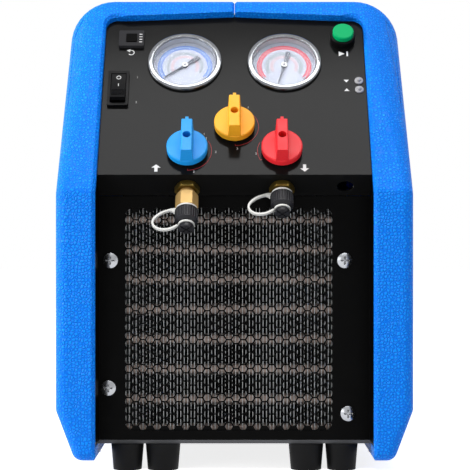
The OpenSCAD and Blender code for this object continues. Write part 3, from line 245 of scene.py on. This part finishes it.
# Finishes, one for each material slot of the record
FINE = ("fine", 2400, 0.00002)
SMOOTH = ("fine", 3000, 0.000004)
SHEET = ("fine", 900, 0.00002)
TURNED = ("fine", 900, 0.00001)
FINISHES = {
    # Shell: the hollow tone is painted shade between the pebbles, and the worn tone is edge wear together
    # with a painted highlight along the edges
    "shell_blue": finish(
        "shell_blue", linear(8, 146, 255), 0.42, grain=("pebble", 430, 0.0004), painted_pebble_shade=linear(0, 116, 234),
        edge_wear_and_highlight=linear(78, 176, 255), specular=0.12, edge=0.001),
    "panel_grey": finish(
        "panel_grey", linear(21, 21, 21), 0.14, grain=("fine", 2400, 0.000004), edge_wear_and_highlight=linear(44, 44, 46),
        specular=0.045, rough_vary=0.01),
    "cover_black": finish(
        "cover_black", linear(5, 5, 5), 0.36, grain=FINE, edge_wear_and_highlight=linear(34, 34, 36), specular=0.035),
    "grille_black": finish(
        "grille_black", linear(6, 6, 6), 0.45, grain=FINE, edge_wear_and_highlight=linear(34, 32, 30), edge=0.0002,
        specular=0.04),
    "base_grey": finish("base_grey", linear(80, 81, 84), 0.45, grain=FINE, edge_wear_and_highlight=linear(140, 140, 142)),
    "rubber_black": finish(
        "rubber_black", linear(14, 14, 15), 0.5, grain=("fine", 1500, 0.00003), edge_wear_and_highlight=linear(46, 46, 48),
        specular=0.1),
    # The screws get painted shade in their slots and corners
    "zinc": finish(
        "zinc", linear(160, 162, 166), 0.24, metal=1.0, grain=("fine", 1800, 0.00001),
        edge_wear_and_highlight=linear(210, 210, 212), painted_corner_shade=0.9),
    "gauge_rim": finish(
        "gauge_rim", linear(128, 130, 134), 0.14, metal=1.0, grain=("fine", 900, 0.000004),
        scratch=0.000004),
    "gauge_black": finish("gauge_black", linear(28, 28, 30), 0.45, grain=FINE, edge_wear_and_highlight=linear(80, 80, 82)),
    "gauge_glass": clear_glass("gauge_glass", (1, 1, 1, 1), 0.0),
    "dial_white": finish("dial_white", linear(176, 182, 198), 0.5, vary=0.02, grain=SMOOTH),
    "needle_black": finish(
        "needle_black", linear(104, 108, 120), 0.45, vary=0.05, grain=("fine", 3000, 0.000005)),
    "knob_blue": finish(
        "knob_blue", linear(26, 152, 232), 0.42, grain=FINE, edge_wear_and_highlight=linear(110, 196, 246), specular=0.2),
    "knob_yellow": finish(
        "knob_yellow", linear(250, 178, 40), 0.42, grain=FINE, edge_wear_and_highlight=linear(253, 214, 120), specular=0.2),
    "knob_red": finish(
        "knob_red", linear(232, 42, 50), 0.42, grain=FINE, edge_wear_and_highlight=linear(246, 120, 120), specular=0.2),
    "brass": finish(
        "brass", linear(186, 152, 94), 0.5, metal=0.4, vary=0.08, grain=TURNED, edge_wear_and_highlight=linear(206, 176, 116),
        scratch=0.000004),
    "cap_black": finish(
        "cap_black", linear(27, 27, 31), 0.4, grain=("fine", 2400, 0.00003), edge_wear_and_highlight=linear(60, 60, 66),
        specular=0.2),
    "tether_white": finish(
        "tether_white", linear(216, 216, 212), 0.42, vary=0.04, grain=("fine", 1600, 0.00002)),
    "switch_black": finish(
        "switch_black", linear(14, 14, 15), 0.36, grain=FINE, edge_wear_and_highlight=linear(54, 54, 57), specular=0.06),
    "start_green": finish(
        "start_green", linear(0, 164, 98), 0.34, grain=("fine", 1200, 0.00001), edge_wear_and_highlight=linear(60, 190, 138),
        specular=0.06),
    "lamp_clear": finish(
        "lamp_clear", linear(160, 159, 162), 0.45, vary=0.05, grain=("fine", 1500, 0.00001)),
    "copper": finish(
        "copper", linear(186, 166, 156), 0.42, metal=0.6, vary=0.14, grain=("fine", 700, 0.00002),
        scratch=0.00001),
    "fin_aluminium": finish("fin_aluminium", linear(222, 224, 226), 0.45, metal=0.5, vary=0.08, grain=SHEET),
    "steel_plate": finish("steel_plate", linear(196, 198, 202), 0.42, metal=0.5, grain=SHEET),
    "cast_alloy": finish(
        "cast_alloy", linear(160, 162, 164), 0.5, metal=1.0, grain=("pebble", 900, 0.00006)),
    "motor_paint": finish(
        "motor_paint", linear(52, 54, 58), 0.5, grain=("fine", 1600, 0.00005), edge_wear_and_highlight=linear(130, 130, 132)),
}

# Nodes that look unlike the rest of their slot
# The fan shroud and the compressor cradle, seen through the fins, take a near-black tone
DARK_INSIDE = finish("dark_inside", linear(20, 20, 22), 0.6, grain=("fine", 1600, 0.00004), specular=0.05)
# Painted shadow: the port nuts take a darker copy of brass for the shadow they sit in under the panel's
# flange
PAINTED_SHADOW_BRASS = finish("brass_painted_shadow", linear(112, 92, 40), 0.34, metal=0.8, grain=TURNED)
FRAME_GREY = finish("frame_grey", linear(50, 50, 52), 0.6, grain=("fine", 1800, 0.00006), specular=0.03)
BUTTON_BLACK = finish("button_black", linear(6, 6, 6), 0.5, grain=FINE, specular=0.02)
NODE_FINISH = {
    "fan_shroud": DARK_INSIDE,
    "compressor_cradle": DARK_INSIDE,
    "port_nuts": PAINTED_SHADOW_BRASS,
    "breaker_body": FRAME_GREY,
    "breaker_button": BUTTON_BLACK,
    "lamp_bezels": FINISHES["lamp_clear"],
}


# CAD nodes: smooth shading and a finish for each

SMOOTH_ANGLE = math.radians(32)
WELD_GAP = 0.002 * MM


def dress_nodes():
    slots = {row["node"]: row["material_slot"] for row in frame["record"]["subparts"]}
    for name, obj in nodes.items():
        mesh = obj.data
        mesh.materials.clear()
        mesh.materials.append(NODE_FINISH.get(name, FINISHES[slots[name]]))
        custom = mesh.attributes.get("custom_normal")
        if custom:
            mesh.attributes.remove(custom)
        mesh.polygons.foreach_set("use_smooth", [True] * len(mesh.polygons))
        weld = obj.modifiers.new("weld", "WELD")
        weld.merge_threshold = WELD_GAP
        split = obj.modifiers.new("split", "EDGE_SPLIT")
        split.split_angle = SMOOTH_ANGLE
        obj.modifiers.new("even", "WEIGHTED_NORMAL")


dress_nodes()


def new_piece(name, bm, material):
    """Object made from bm, which is freed."""
    mesh = bpy.data.meshes.new(name)
    bm.to_mesh(mesh)
    bm.free()
    mesh.materials.append(material)
    obj = bpy.data.objects.new(name, mesh)
    bpy.context.scene.collection.objects.link(obj)
    return obj


# Corner strips, in millimetres: the rounding of each shell's upper front corner cuts into its hollow

CORNER_R = 8.0
CORNER_INSET = 0.2
CORNER_T = 2.0
CORNER_FOOT = Vector((118, -177, 198.48))
CORNER_TOP = Vector((92, -76.5, 316))
CORNER_BEND = 26.0
CORNER_SWEEP = 70
CORNER_STEPS = 24


def corner_strip(name, side):
    """Thin sheet just under the rounding that closes the slit, from the foot of the slope to the top."""
    points = []
    for depth in (CORNER_INSET, CORNER_INSET + CORNER_T):
        for i in range(CORNER_STEPS + 1):
            turn = math.radians(CORNER_SWEEP * i / CORNER_STEPS)
            bend = CORNER_TOP + CORNER_BEND * Vector((math.cos(turn), 0, math.sin(turn)))
            along = Vector((-math.sin(turn), 0, math.cos(turn)))
            out = (bend - CORNER_FOOT).cross(along).normalized() * (CORNER_R - depth)
            points += [CORNER_FOOT + out, bend + out]
    row = 2 * (CORNER_STEPS + 1)
    faces = []
    for i in range(CORNER_STEPS):
        a, b, c, d = 2 * i, 2 * i + 1, 2 * i + 3, 2 * i + 2
        faces += [(a, d, c, b), (row + a, row + b, row + c, row + d)]
        faces += [(a, row + a, row + d, d), (b, c, row + c, row + b)]
    last = row - 2
    faces += [(0, 1, row + 1, row), (last, row + last, row + last + 1, last + 1)]
    bm = bmesh.new()
    corners = [bm.verts.new(MM * Vector((side * p.x, p.y, p.z))) for p in points]
    for face in faces:
        bm.faces.new([corners[i] for i in face])
    bmesh.ops.recalc_face_normals(bm, faces=bm.faces)
    obj = new_piece(name, bm, FINISHES["shell_blue"])
    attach(obj, "machine")


corner_strip("left_corner_strip", -1)
corner_strip("right_corner_strip", 1)


# Upper fins: the condenser's fins go on above its top tube, up to the edge of the air window

FIN_PITCH = 2.5 * MM
FIN_T = 0.4 * MM
FIN_TOP = 197.5 * MM


def upper_fins():
    low, high = (Vector(corner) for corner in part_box("condenser_fins"))
    count = round((high.x - low.x - FIN_T) / FIN_PITCH)
    size = Vector((FIN_T, high.y - low.y, FIN_TOP - high.z))
    bm = bmesh.new()
    for i in range(count + 1):
        middle = Vector((low.x + FIN_T / 2 + i * FIN_PITCH, (low.y + high.y) / 2, (high.z + FIN_TOP) / 2))
        bmesh.ops.create_cube(bm, size=1.0, matrix=Matrix.Translation(middle) @ Matrix.Diagonal((*size, 1)))
    obj = new_piece("upper_fins", bm, FINISHES["fin_aluminium"])
    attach(obj, "machine")


upper_fins()


# Flat marks: thin closed solids drawn in a plane, in millimetres

PRINT_LIFT = 0.02
PRINT_T = 0.06
ARROW_HEAD = 0.45
ARROW_STEM = 0.36


def on_panel(x, u, n, tilt=0.0):
    """Matrix that puts a mark drawn in millimetres at a place on the panel, its upper side sunk by tilt."""
    place = Matrix.Identity(4)
    origin = PANEL_FOOT + MM * (x * Vector((1, 0, 0)) + u * PANEL_U + n * PANEL_N)
    for row in range(3):
        place[row][0] = MM * (1.0 if row == 0 else 0.0)
        place[row][1] = MM * PANEL_U[row]
        place[row][2] = MM * PANEL_N[row]
        place[row][3] = origin[row]
    return place @ Matrix.Rotation(-tilt, 4, "X")


def arc_band(inner, outer, start, end, steps=48, middle=(0, 0)):
    """Outline of a part of a ring from start to end, in degrees anticlockwise from straight up."""
    def at(radius, share):
        turn = math.radians(start + (end - start) * share)
        return (middle[0] - radius * math.sin(turn), middle[1] + radius * math.cos(turn))
    shares = [i / steps for i in range(steps + 1)]
    return [at(outer, s) for s in shares] + [at(inner, s) for s in reversed(shares)]


def tick(inner, outer, angle, width, middle=(0, 0)):
    """Bar along a radius; angle in degrees anticlockwise from straight up."""
    turn = math.radians(angle)
    out = Vector((-math.sin(turn), math.cos(turn)))
    side = Vector((out.y, -out.x)) * width / 2
    foot = Vector(middle)
    return [tuple(foot + out * r + side * s) for r, s in ((inner, 1), (outer, 1), (outer, -1), (inner, -1))]


def box_mark(x, y, w, h):
    return [(x - w / 2, y - h / 2), (x + w / 2, y - h / 2), (x + w / 2, y + h / 2), (x - w / 2, y + h / 2)]


def disc(radius, steps=32):
    turns = [math.tau * i / steps for i in range(steps)]
    return [(radius * math.cos(turn), radius * math.sin(turn)) for turn in turns]


def arrow(x, y, length, width, angle):
    """Arrow around its middle; angle in degrees anticlockwise from straight up."""
    neck = length - ARROW_HEAD * length
    stem = ARROW_STEM * width
    half = [(stem / 2, 0), (stem / 2, neck), (width / 2, neck)]
    shape = half + [(0, length)] + [(-px, py) for px, py in reversed(half)]
    turn = math.radians(angle)
    return [(x + px * math.cos(turn) - (py - length / 2) * math.sin(turn),
             y + px * math.sin(turn) + (py - length / 2) * math.cos(turn)) for px, py in shape]


def signed_area(points):
    return sum(a[0] * b[1] - b[0] * a[1] for a, b in zip(points, points[1:] + points[:1])) / 2


def prism(bm, points, thick):
    """Closed flat solid on a plane outline, added to bm."""
    if signed_area(points) < 0:
        points = points[::-1]
    low = [bm.verts.new((x, y, 0)) for x, y in points]
    high = [bm.verts.new((x, y, thick)) for x, y in points]
    bm.faces.new(low[::-1])
    bm.faces.new(high)
    for i in range(len(points)):
        j = (i + 1) % len(points)
        bm.faces.new((low[i], low[j], high[j], high[i]))


def ring_prism(bm, inner, outer, thick, place, steps=48):
    """Closed flat ring, moved from the origin by place and added to bm."""
    corners = ((inner, 0), (outer, 0), (outer, thick), (inner, thick))
    rows = []
    for i in range(steps):
        turn = math.tau * i / steps
        spots = [Vector((r * math.cos(turn), r * math.sin(turn), z)) for r, z in corners]
        rows.append([bm.verts.new(place @ spot) for spot in spots])
    for here, after in zip(rows, rows[1:] + rows[:1]):
        for j in range(4):
            k = (j + 1) % 4
            bm.faces.new((here[j], after[j], after[k], here[k]))


def letter_mesh(text, size, thick):
    """Mesh of a few plain characters, centred."""
    curve = bpy.data.curves.new("letter", "FONT")
    curve.body = text
    curve.size = size
    curve.align_x = "CENTER"
    curve.align_y = "CENTER"
    curve.extrude = thick / 2
    curve.resolution_u = 3
    holder = bpy.data.objects.new("letter", curve)
    mesh = bpy.data.meshes.new_from_object(holder)
    bpy.data.objects.remove(holder)
    bpy.data.curves.remove(curve)
    return mesh


def print_marks(name, material, place, outlines=(), words=(), rings=(), thick=PRINT_T, body="machine"):
    """One piece of thin marks.

    words holds (text, size, x, y, turn in degrees), and rings holds (inner, outer, middle).
    """
    bm = bmesh.new()
    for points in outlines:
        prism(bm, list(points), thick)
    for inner, outer, middle in rings:
        ring_prism(bm, inner, outer, thick, Matrix.Translation((*middle, 0)))
    for text, size, x, y, turn in words:
        mesh = letter_mesh(text, size, thick)
        mesh.transform(Matrix.Translation((x, y, thick / 2)) @ Matrix.Rotation(math.radians(turn), 4, "Z"))
        bm.from_mesh(mesh)
        bpy.data.meshes.remove(mesh)
    bm.transform(place)
    obj = new_piece(name, bm, material)
    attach(obj, body)


# Inks

def ink(name, tone, rough=0.5, vary=0.05):
    return finish(name, tone, rough, vary=vary, grain=SMOOTH)


INK_WHITE = ink("ink_white", linear(222, 222, 222), 0.55, 0.04)
INK_RED = ink("ink_red", linear(170, 40, 44))
INK_DARK = ink("ink_dark", linear(88, 92, 112))
INK_BLUE = ink("ink_blue", linear(96, 132, 206))
INK_ROSE = ink("ink_rose", linear(214, 84, 100))
INK_SKY = ink("ink_sky", linear(146, 170, 214))
INK_BLUSH = ink("ink_blush", linear(214, 128, 140))
INK_PINK = ink("ink_pink", linear(186, 168, 178))
INK_GREY = ink("ink_grey", linear(148, 158, 168))

# Dials: radii, widths and letter size in millimetres, sweeps in degrees to each side of straight up
SCALE_SWEEP = 128.0
SCALE_STEPS = 50
RING_LINES = ((19.6, 20.5), (17.0, 18.0))
RING_INK = {"low": INK_BLUE, "high": INK_ROSE}
RING_FILL = (18.2, 19.4)
BAND_SWEEP = 122
GREY_BAND = {"low": (11.8, 13.8), "high": (11.4, 14.2)}
PINK_BAND = {"low": (8.4, 10.8), "high": (8.2, 10.6)}
FILL_INK = {"low": INK_SKY, "high": INK_BLUSH}
LONG_EVERY = 5
LONG_TICK = (20.7, 22.2)
LONG_TICK_W = 0.26
SHORT_TICK = (20.7, 21.4)
SHORT_TICK_W = 0.14
INNER_EVERY = 2
INNER_SHARE = 0.95
MIDDLE_TICK = (14.4, 15.2)
MIDDLE_TICK_W = 0.14
INNER_TICK = (7.2, 7.8)
INNER_TICK_W = 0.12
NUMBER_EVERY = 10
NUMBER_R = 18.8
NUMBER_SIZE = 1.9
TOP_VALUE = {"low": 10, "high": 50}


def dial_print(side):
    """Scales of one gauge: a coloured ring with plain numbers, pale bands inside it, and ticks."""
    place = on_panel(GAUGE_X[side], GAUGE_U, DIAL_TOP + PRINT_LIFT)
    lines = [arc_band(*line, SCALE_SWEEP, -SCALE_SWEEP) for line in RING_LINES]
    print_marks(side + "_dial_ring", RING_INK[side], place, lines)
    bands = {
        "_dial_fill": (FILL_INK[side], RING_FILL),
        "_dial_grey": (INK_GREY, GREY_BAND[side]),
        "_dial_pink": (INK_PINK, PINK_BAND[side]),
    }
    for name, (material, band) in bands.items():
        print_marks(side + name, material, place, [arc_band(*band, BAND_SWEEP, -BAND_SWEEP)])
    ticks = []
    numbers = []
    for i in range(SCALE_STEPS + 1):
        angle = SCALE_SWEEP - 2 * SCALE_SWEEP * i / SCALE_STEPS
        if i % LONG_EVERY == 0:
            ticks.append(tick(*LONG_TICK, angle, LONG_TICK_W))
        else:
            ticks.append(tick(*SHORT_TICK, angle, SHORT_TICK_W))
        if i % INNER_EVERY == 0:
            ticks.append(tick(*MIDDLE_TICK, angle * INNER_SHARE, MIDDLE_TICK_W))
            ticks.append(tick(*INNER_TICK, angle * INNER_SHARE, INNER_TICK_W))
        if i % NUMBER_EVERY == 0:
            turn = math.radians(angle)
            value = str(round(TOP_VALUE[side] * i / SCALE_STEPS))
            x, y = -NUMBER_R * math.sin(turn), NUMBER_R * math.cos(turn)
            numbers.append((value, NUMBER_SIZE, x, y, angle))
    print_marks(side + "_dial_marks", INK_DARK, place, ticks, numbers)


dial_print("low")
dial_print("high")

# Marks on the panel, in millimetres across and up it, with turns in degrees
PORT_ARROW = (6.5, 6.5)
PORT_ARROWS = ((-56, 6, 0), (50, 6, 180))
KNOB_ARC = (17.3, 17.7)
KNOB_ARC_STEPS = 36
KNOB_ARC_ENDS = {"inlet": (-58, -178), "mode": (-50, -178), "outlet": (62, 118)}
KNOB_TICK = (16.2, 17.7)
KNOB_TICK_W = 0.4
STATION_SIZE = 2.6
STATIONS = {
    "inlet": (("1", -22, 37), ("2", -13.5, 20.5), ("3", -29, 2.6)),
    "mode": (("1", 10, 62), ("2", -20.5, 33), ("3", 2, 23.4)),
    "outlet": (("2", 15.5, 19),),
    "rocker": (("1", -72.4, 91), ("2", -72.4, 67)),
}
START_POINT = [(78.6, 112.2), (83.2, 114.6), (78.6, 117)]
START_BAR = (85, 114.6, 1.3, 4.8)
RESET_AT = (-78, 115.8)
RESET_ARC = (1.9, 2.6, 40, -230)
RESET_STEPS = 24
RESET_POINT = [(-81.6, 118.0), (-78.6, 119.4), (-78.9, 116.2)]
LOW_LAMP_POINT = [(81.2, 88.8), (85.2, 88.8), (83.2, 86.2)]
HIGH_LAMP_POINT = [(81.2, 77.8), (85.2, 77.8), (83.2, 80.4)]


def panel_print():
    """White arrows, points and plain numbers, and the red arcs beside the knobs."""
    place = on_panel(0, 0, PRINT_LIFT)
    white = [arrow(x, u, *PORT_ARROW, angle) for x, u, angle in PORT_ARROWS]
    white += [START_POINT, box_mark(*START_BAR)]
    white += [arc_band(*RESET_ARC, RESET_STEPS, RESET_AT), RESET_POINT]
    white += [LOW_LAMP_POINT, HIGH_LAMP_POINT]
    numbers = [(text, STATION_SIZE, x, u, 0) for group in STATIONS.values() for text, x, u in group]
    red = []
    for name, (start, end) in KNOB_ARC_ENDS.items():
        red.append(arc_band(*KNOB_ARC, start, end, KNOB_ARC_STEPS, KNOB_AT[name]))
        red.append(tick(*KNOB_TICK, end, KNOB_TICK_W, KNOB_AT[name]))
    print_marks("panel_marks", INK_WHITE, place, white, numbers)
    print_marks("panel_arcs", INK_RED, place, red)


# Marks and ribs of the switches, in millimetres from the middle of each
ON_BAR = (0, 3.0, 0.6, 2.6)
OFF_RING = (1.25, 1.8, (0, 10.2))
BREAKER_BAR = (2.2, 0.7)
BREAKER_BAR_X = 7.0
BREAKER_BAR_UP = (-4, -1.4, 1.2, 3.8)
RIB_SHIFT = 0.42
RIB_START = -3.0
RIB_PITCH = 1.8
RIB_SIZE = (9.6, 0.7)
RIB_COUNT = 5
RIB_T = 0.35


def switch_print():
    """On and off marks on the rocker, and plain bars on the breaker's frame."""
    on_rocker = on_panel(*ROCKER_AT, ROCKER_FACE + PRINT_LIFT, ROCKER_TILT)
    print_marks("rocker_marks", INK_WHITE, on_rocker, [box_mark(*ON_BAR)], rings=[OFF_RING],
                body="power_rocker")
    on_breaker = on_panel(*BREAKER_AT, BREAKER_FACE + PRINT_LIFT)
    bars = [box_mark(BREAKER_BAR_X, up, *BREAKER_BAR) for up in BREAKER_BAR_UP]
    print_marks("breaker_marks", INK_WHITE, on_breaker, bars)


def rocker_ribs():
    """Finger ribs on the raised half of the rocker."""
    x, u = ROCKER_AT
    place = on_panel(x, u + RIB_SHIFT, ROCKER_FACE, ROCKER_RISE)
    ribs = [box_mark(0, RIB_START - RIB_PITCH * i, *RIB_SIZE) for i in range(RIB_COUNT)]
    print_marks("rocker_ribs", FINISHES["switch_black"], place, ribs, thick=RIB_T, body="power_rocker")


# Details of the needles, in millimetres
TAIL = (7.0, 13.5)
TAIL_W = 3.2
HUB_R = 2.3
HUB_T = 0.2
PIN_R = 0.805
PIN_T = 0.1


def needle_details(side):
    """Paddle at the tail of a needle, the pale cap of its hub and the pin in the cap."""
    x = GAUGE_X[side]
    body = side + "_pointer"
    tail = tick(*TAIL, NEEDLE_DEG[side] + 180, TAIL_W)
    print_marks(side + "_needle_tail", FINISHES["needle_black"], on_panel(x, GAUGE_U, NEEDLE_LOW), [tail],
                thick=NEEDLE_T, body=body)
    on_hub = on_panel(x, GAUGE_U, HUB_TOP)
    print_marks(side + "_hub_cap", INK_WHITE, on_hub, [disc(HUB_R)], thick=HUB_T, body=body)
    on_cap = on_panel(x, GAUGE_U, HUB_TOP + HUB_T)
    print_marks(side + "_hub_pin", INK_DARK, on_cap, [disc(PIN_R)], thick=PIN_T, body=body)


panel_print()
switch_print()
needle_details("low")
needle_details("high")
rocker_ribs()


# Straps of the caps, in millimetres: rounder loops with a web at the ring, in place of the plain CAD ones

STRAP_W = 2.0
STRAP_T = 1.5
STRAP_RING_T = 1.3
FITTING_RING_U = {"inlet": -20.35, "outlet": -6.85}
FITTING_RING = (4.6, 7.6)
NECK_RING = (4.8, 5.9)
NECK_RING_DROP = 13.45
WEB_OUTER = [(-7.0, 0.6), (-8.3, 0.6), (-9.6, 0.5), (-11.4, 0.1)]
WEB_INNER = [(-7.0, -0.6), (-8.3, -0.6), (-8.5, -3.8), (-9.9, -2.4), (-11.8, -1.7)]
LOOP_PATH = [
    (-11.6, -0.8), (-14.2, -1.6), (-18.6, -3.8), (-22.4, -7.4), (-24.0, -11.2), (-22.8, -14.8),
    (-19.2, -17.2), (-14.4, -17.6), (-10.2, -16.4), (-5.4, -13.45), (-4.6, -12.95)]
LOOP_STEPS = 6


def smooth_path(points, steps):
    """Points along a smooth curve through the inner points; the first and last only steer it."""
    made = []
    for before, start, end, after in zip(points, points[1:], points[2:], points[3:]):
        p0, p1, p2, p3 = (Vector(p) for p in (before, start, end, after))
        for i in range(steps):
            t = i / steps
            made.append(0.5 * (2 * p1 + (p2 - p0) * t + (2 * p0 - 5 * p1 + 4 * p2 - p3) * t ** 2
                               + (3 * p1 - p0 - 3 * p2 + p3) * t ** 3))
    return made + [Vector(points[-2])]


def loop_outline():
    """Outline of the web and the loop, seen square to the panel, from the ring of the fitting."""
    path = smooth_path(LOOP_PATH, LOOP_STEPS)
    outer, inner = list(WEB_OUTER), list(WEB_INNER)
    for before, here, after in zip(path, path[1:], path[2:]):
        along = (after - before).normalized()
        out = Vector((along.y, -along.x)) * STRAP_T / 2
        outer.append(tuple(here + out))
        inner.append(tuple(here - out))
    return outer + inner[::-1]


def strap(side):
    """Loop with its two rings, one on the fitting and one in the neck of the cap."""
    bm = bmesh.new()
    prism(bm, loop_outline(), STRAP_W)
    bmesh.ops.translate(bm, verts=bm.verts, vec=(0, 0, -STRAP_W / 2))
    around_port = Matrix.Rotation(math.radians(90), 4, "X")
    for ring, drop in ((FITTING_RING, 0.0), (NECK_RING, NECK_RING_DROP)):
        place = Matrix.Translation((0, STRAP_RING_T / 2 - drop, 0)) @ around_port
        ring_prism(bm, *ring, STRAP_RING_T, place)
    bm.transform(on_panel(KNOB_AT[side][0], FITTING_RING_U[side], PORT_N))
    obj = new_piece(side + "_strap", bm, FINISHES["tether_white"])
    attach(obj, "machine")
    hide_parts(side + "_tether")


strap("inlet")
strap("outlet")


# Stage: floor, world, lights and camera, in metres and watts

FLOOR_HALF = 6.0
FLOOR_TONE = (0.8, 0.8, 0.8, 1)
FLOOR_GLOW = 0.8
WORLD_FILL = 0.32
WORLD_WHITE = 1.0
WHITE = (1, 1, 1, 1)
AIM = (0, 0, 0.2)
SOFTBOXES = {
    "top_box": {"at": (0.0, -0.615, 1.55), "target": (0, -0.605, 0.0), "size": (1.1, 0.45), "power": 17.5},
    "front_box": {"at": (-1.6, -1.7, 0.7), "target": AIM, "size": (1.2, 1.0), "power": 8},
    "left_box": {"at": (-1.5, -0.35, 0.5), "target": AIM, "size": (0.6, 1.0), "power": 20},
    "right_box": {"at": (1.5, -1.0, 0.6), "target": AIM, "size": (0.7, 1.2), "power": 1.5},
}


def background_ray(tree):
    """1 for rays that see the background: straight, mirrored, or through glass before a diffuse bounce."""
    path = add(tree, "LightPath")
    seen = maths(tree, "MAXIMUM", path.outputs["Is Camera Ray"], path.outputs["Is Glossy Ray"])
    first = maths(tree, "LESS_THAN", path.outputs["Diffuse Depth"], 0.5)
    through = maths(tree, "MULTIPLY", path.outputs["Is Transmission Ray"], first)
    return maths(tree, "MAXIMUM", seen, through)


def pale_floor():
    """Pale paper that keeps the shadow, and glows for rays that see it as the background."""
    mesh = bpy.data.meshes.new("floor")
    corners = [(-1, -1), (1, -1), (1, 1), (-1, 1)]
    mesh.from_pydata([(FLOOR_HALF * x, FLOOR_HALF * y, 0) for x, y in corners], [], [(0, 1, 2, 3)])
    obj = bpy.data.objects.new("floor", mesh)
    bpy.context.scene.collection.objects.link(obj)
    made = bpy.data.materials.new("floor_white")
    made.use_nodes = True
    tree = made.node_tree
    tree.nodes.clear()
    strength = maths(tree, "MULTIPLY", background_ray(tree), FLOOR_GLOW)
    paper = add(tree, "BsdfDiffuse", {"Color": FLOOR_TONE})
    glow = add(tree, "Emission", {"Color": WHITE, "Strength": strength})
    both = add(tree, "AddShader", {0: paper.outputs["BSDF"], 1: glow.outputs["Emission"]})
    add(tree, "OutputMaterial", {"Surface": both.outputs["Shader"]})
    mesh.materials.append(made)


def white_world():
    world = bpy.data.worlds.new("studio")
    bpy.context.scene.world = world
    world.use_nodes = True
    tree = world.node_tree
    tree.nodes.clear()
    strength = spread(tree, background_ray(tree), WORLD_FILL, WORLD_WHITE)
    back = add(tree, "Background", {"Color": WHITE, "Strength": strength})
    add(tree, "OutputWorld", {"Surface": back.outputs["Background"]})


def softbox(name, at, target, size, power):
    lamp = bpy.data.lights.new(name, "AREA")
    lamp.shape = "RECTANGLE"
    lamp.size, lamp.size_y = size
    lamp.energy = power
    obj = bpy.data.objects.new(name, lamp)
    obj.location = at
    obj.rotation_euler = (Vector(target) - Vector(at)).to_track_quat("-Z", "Y").to_euler()
    bpy.context.scene.collection.objects.link(obj)


def camera():
    data = bpy.data.cameras.new("camera")
    data.sensor_width = SENSOR
    data.lens = LENS
    obj = bpy.data.objects.new("camera", data)
    obj.location = CAMERA_AT
    obj.rotation_euler = (math.radians(90), 0, 0)
    bpy.context.scene.collection.objects.link(obj)
    bpy.context.scene.camera = obj


pale_floor()
white_world()
for box_name, box in SOFTBOXES.items():
    softbox(box_name, **box)
camera()
bpy.context.scene.view_settings.view_transform = "Standard"
